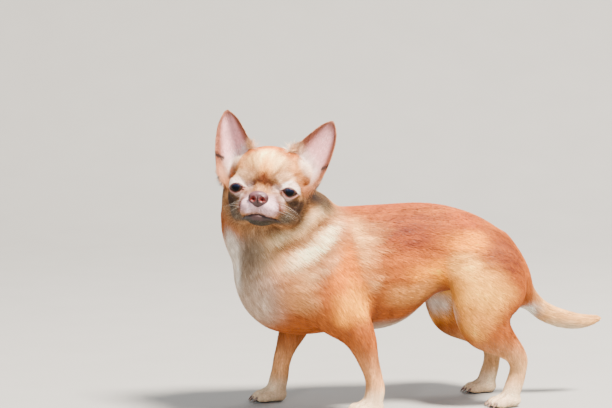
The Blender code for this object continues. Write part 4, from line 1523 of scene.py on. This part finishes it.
def areas_of_roots():
    local, body = to_head(roots), to_body(roots)
    ear = at_roots(ears.mask(), corners, weights)[:, 0] > 0.5
    names = np.full(len(roots), "flank", dtype=object)
    names[body[:, 1] > 20] = "thigh"
    names[body[:, 1] < -42] = "shoulder"
    names[(body[:, 1] < -95) & (body[:, 2] > 118)] = "neck"
    names[body[:, 2] < 78] = "leg"
    names[(body[:, 1] > 94) & (body[:, 2] > 50)] = "tail"
    head = headness(local) > 0.5
    names[head] = "crown"
    names[head & (local[:, 1] > 6)] = "face"
    names[ear] = "ear"
    return names


def coat_piece(name, chosen):
    count = len(chosen)
    faces = (TUFT_FACES[None] + 5 * np.arange(count)[:, None, None]).reshape(-1, 3)
    piece = mesh_piece(name, tufts[chosen].reshape(-1, 3), faces)
    facing = np.repeat(root_normals[chosen][:, None], 5, axis=1)
    side = unit(tufts[chosen, 1] - tufts[chosen, 2]) * 0.55
    facing[:, 1] += side
    facing[:, 2] -= side
    piece.data.normals_split_custom_set_from_vertices(unit(facing).reshape(-1, 3).tolist())
    paint_points(piece, "tone", tuft_tones[chosen].reshape(-1, 3))
    layer = piece.data.uv_layers.new(name="OFBake")
    places = tuft_uv[chosen][:, TUFT_FACES.ravel()].reshape(-1, 2)
    layer.data.foreach_set("uv", places.astype(np.float32).ravel())
    return piece


def make_coat():
    pieces = []
    areas = areas_of_roots()
    for area in sorted(set(areas)):
        members = np.flatnonzero(areas == area)
        parts = math.ceil(len(members) / MOST_TUFTS)
        for k, chosen in enumerate(np.array_split(RANDOM.permutation(members), parts)):
            pieces.append(coat_piece(f"coat_{area}" + (f"_{k + 1}" if parts > 1 else ""), chosen))
            print(pieces[-1].name, len(chosen), "tufts")
    return pieces


coat = make_coat()
coat_finish, tree, shader = new_material("smooth_coat", 0.6, 0.1)
mottled(tree, shader, "tone", 70.0, 0.92, 1.06)
bump(tree, shader, object_noise(tree, 4200.0, 2.0).outputs["Fac"], 0.00012, 0.5)
for piece in coat:
    piece.data.materials.append(coat_finish)
print("pieces of coat:", len(coat))

# %% [markdown]
# ## Whiskers
# A few stiff, pale whiskers stand on each side of the muzzle, and one over each eye.  Each is a
# thin tapering tube that bends back and down a little.

# %% Whiskers
WHISKER_ROOTS = [
    (13, 34, -13),
    (14.5, 31, -16),
    (15.5, 28, -12.5),
    (12, 36, -17.5),
    (17, 26, -17),
    (25, 21, 13.5),
]


def make_whiskers():
    tree = BVHTree.FromPolygons(points.tolist(), triangles.tolist())
    hairs = []
    for side in (1, -1):
        for k, root in enumerate(WHISKER_ROOTS):
            place, normal, _, _ = tree.find_nearest(from_head(np.array(root) * [side, 1, 1]))
            size = RANDOM.uniform(13, 21) if k < 5 else 10.0
            back, down = -0.15 + RANDOM.normal(0, 0.15), -0.1 + RANDOM.normal(0, 0.16)
            out = unit(np.array([side * 1.0, back, down]))
            t = np.linspace(0, 1, 9)[:, None]
            bend = np.array([0, -0.35, -0.3]) * t**2
            way = (out * t + bend) @ HEAD_AXES * size * MM
            path = np.array(place) - np.array(normal) * 0.4 * MM + way
            hairs.append(tube("hair", path, 0.11 * (1 - 0.9 * t[:, 0]) * MM, sides=5))
    joined = join_as("whiskers", hairs)
    face_outwards(joined)
    return joined


whiskers = make_whiskers()
whisker_finish, tree, shader = new_material("whisker", 0.35, 0.5)
shader.inputs["Base Color"].default_value = (0.4, 0.34, 0.29, 1)
bump(tree, shader, object_noise(tree, 2500.0).outputs["Fac"], 0.0001)
whiskers.data.materials.append(whisker_finish)
print("whiskers:", 2 * len(WHISKER_ROOTS))

# %% [markdown]
# ## What rides, what replaces what
# The model is still, so all pieces ride on the one body.  The skin stands for every flesh node,
# and the solids' eyes and nose are hidden under the eyeballs and the nose leather.

# %% Ride and replace
FLESH = sorted(set(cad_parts) - {"eye_left", "eye_right", "nose"})
for piece in [skin, nose, claws, whiskers] + eyeballs + rims + coat:
    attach(piece, "root")
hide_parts(*FLESH)
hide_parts("eye_left")
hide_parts("eye_right")
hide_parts("nose")
print("pieces:", 8 + len(coat))

# %% [markdown]
# ## Floor, light and camera
# A plain pale floor runs up behind the dog in one curve, away from the camera.

# %% Floor
CAMERA_TURN = math.radians(75.0)
CAMERA_PITCH = math.radians(5.243)
CAMERA_PLACE = (2.0826, -0.6657, 0.392)
CAMERA_LENS = 137.2


def make_floor():
    deselect()
    bpy.ops.mesh.primitive_plane_add(size=8.0)
    floor = bpy.context.object
    floor.name = "floor"
    in_edit_mode(floor, bpy.ops.mesh.subdivide, number_cuts=40)
    points = points_of(floor)
    behind = -points @ np.array([math.sin(CAMERA_TURN), -math.cos(CAMERA_TURN), 0])
    points[:, 2] = 2.4 * ease(behind, 1.2, 3.8) ** 1.5 - 0.0002
    put_points(floor, points)
    bpy.ops.object.shade_smooth()
    return floor


floor = make_floor()
FLOOR_DARK, FLOOR_LIGHT = (0.29, 0.288, 0.28), (0.32, 0.318, 0.31)
floor_finish, _, _, _ = two_tone("studio_floor", (0.7, 0.2), (14.0, 4.0), FLOOR_DARK, FLOOR_LIGHT)
floor.data.materials.append(floor_finish)
print("floor:", floor.name)

# %% [markdown]
# A large soft light from above, a small fill in front that also glints in the eyes, a faint light
# from behind and a pale world give the light of a studio.  The camera stands on the dog's left, a
# little in front of it and above its back, as in the photograph.

# %% Lights and camera
def area_light(name, place, target, size, power, colour):
    data = bpy.data.lights.new(name, "AREA")
    data.shape, data.size, data.energy, data.color = "DISK", size, power, colour
    light = bpy.data.objects.new(name, data)
    light.location = place
    light.rotation_euler = (Vector(target) - Vector(place)).to_track_quat("-Z", "Y").to_euler()
    bpy.context.scene.collection.objects.link(light)


def make_camera():
    data = bpy.data.cameras.new("camera")
    data.sensor_width, data.lens = 36.0, CAMERA_LENS
    data.clip_start, data.clip_end = 0.05, 50.0
    camera = bpy.data.objects.new("camera", data)
    camera.location = CAMERA_PLACE
    camera.rotation_euler = (math.pi / 2 - CAMERA_PITCH, 0, CAMERA_TURN)
    bpy.context.scene.collection.objects.link(camera)
    bpy.context.scene.camera = camera


area_light("key", (1.6, 0.8, 3.56), (0.0, -0.02, 0.12), 1.0, 1150.0, (1.0, 0.9, 0.78))
area_light("fill", (1.57, -1.12, 1.05), (0.0, -0.1, 0.18), 0.2, 16.0, (0.9, 0.95, 1.0))
area_light("rim", (-0.7, 0.9, 1.3), (0.0, 0.0, 0.15), 0.8, 20.0, (1.0, 0.97, 0.93))
world = bpy.data.worlds.new("studio")
world.use_nodes = True
world.node_tree.nodes["Background"].inputs["Color"].default_value = (0.88, 0.94, 1.0, 1)
world.node_tree.nodes["Background"].inputs["Strength"].default_value = 0.6
bpy.context.scene.world = world
make_camera()
print("camera at", CAMERA_PLACE, "with", CAMERA_LENS, "mm")
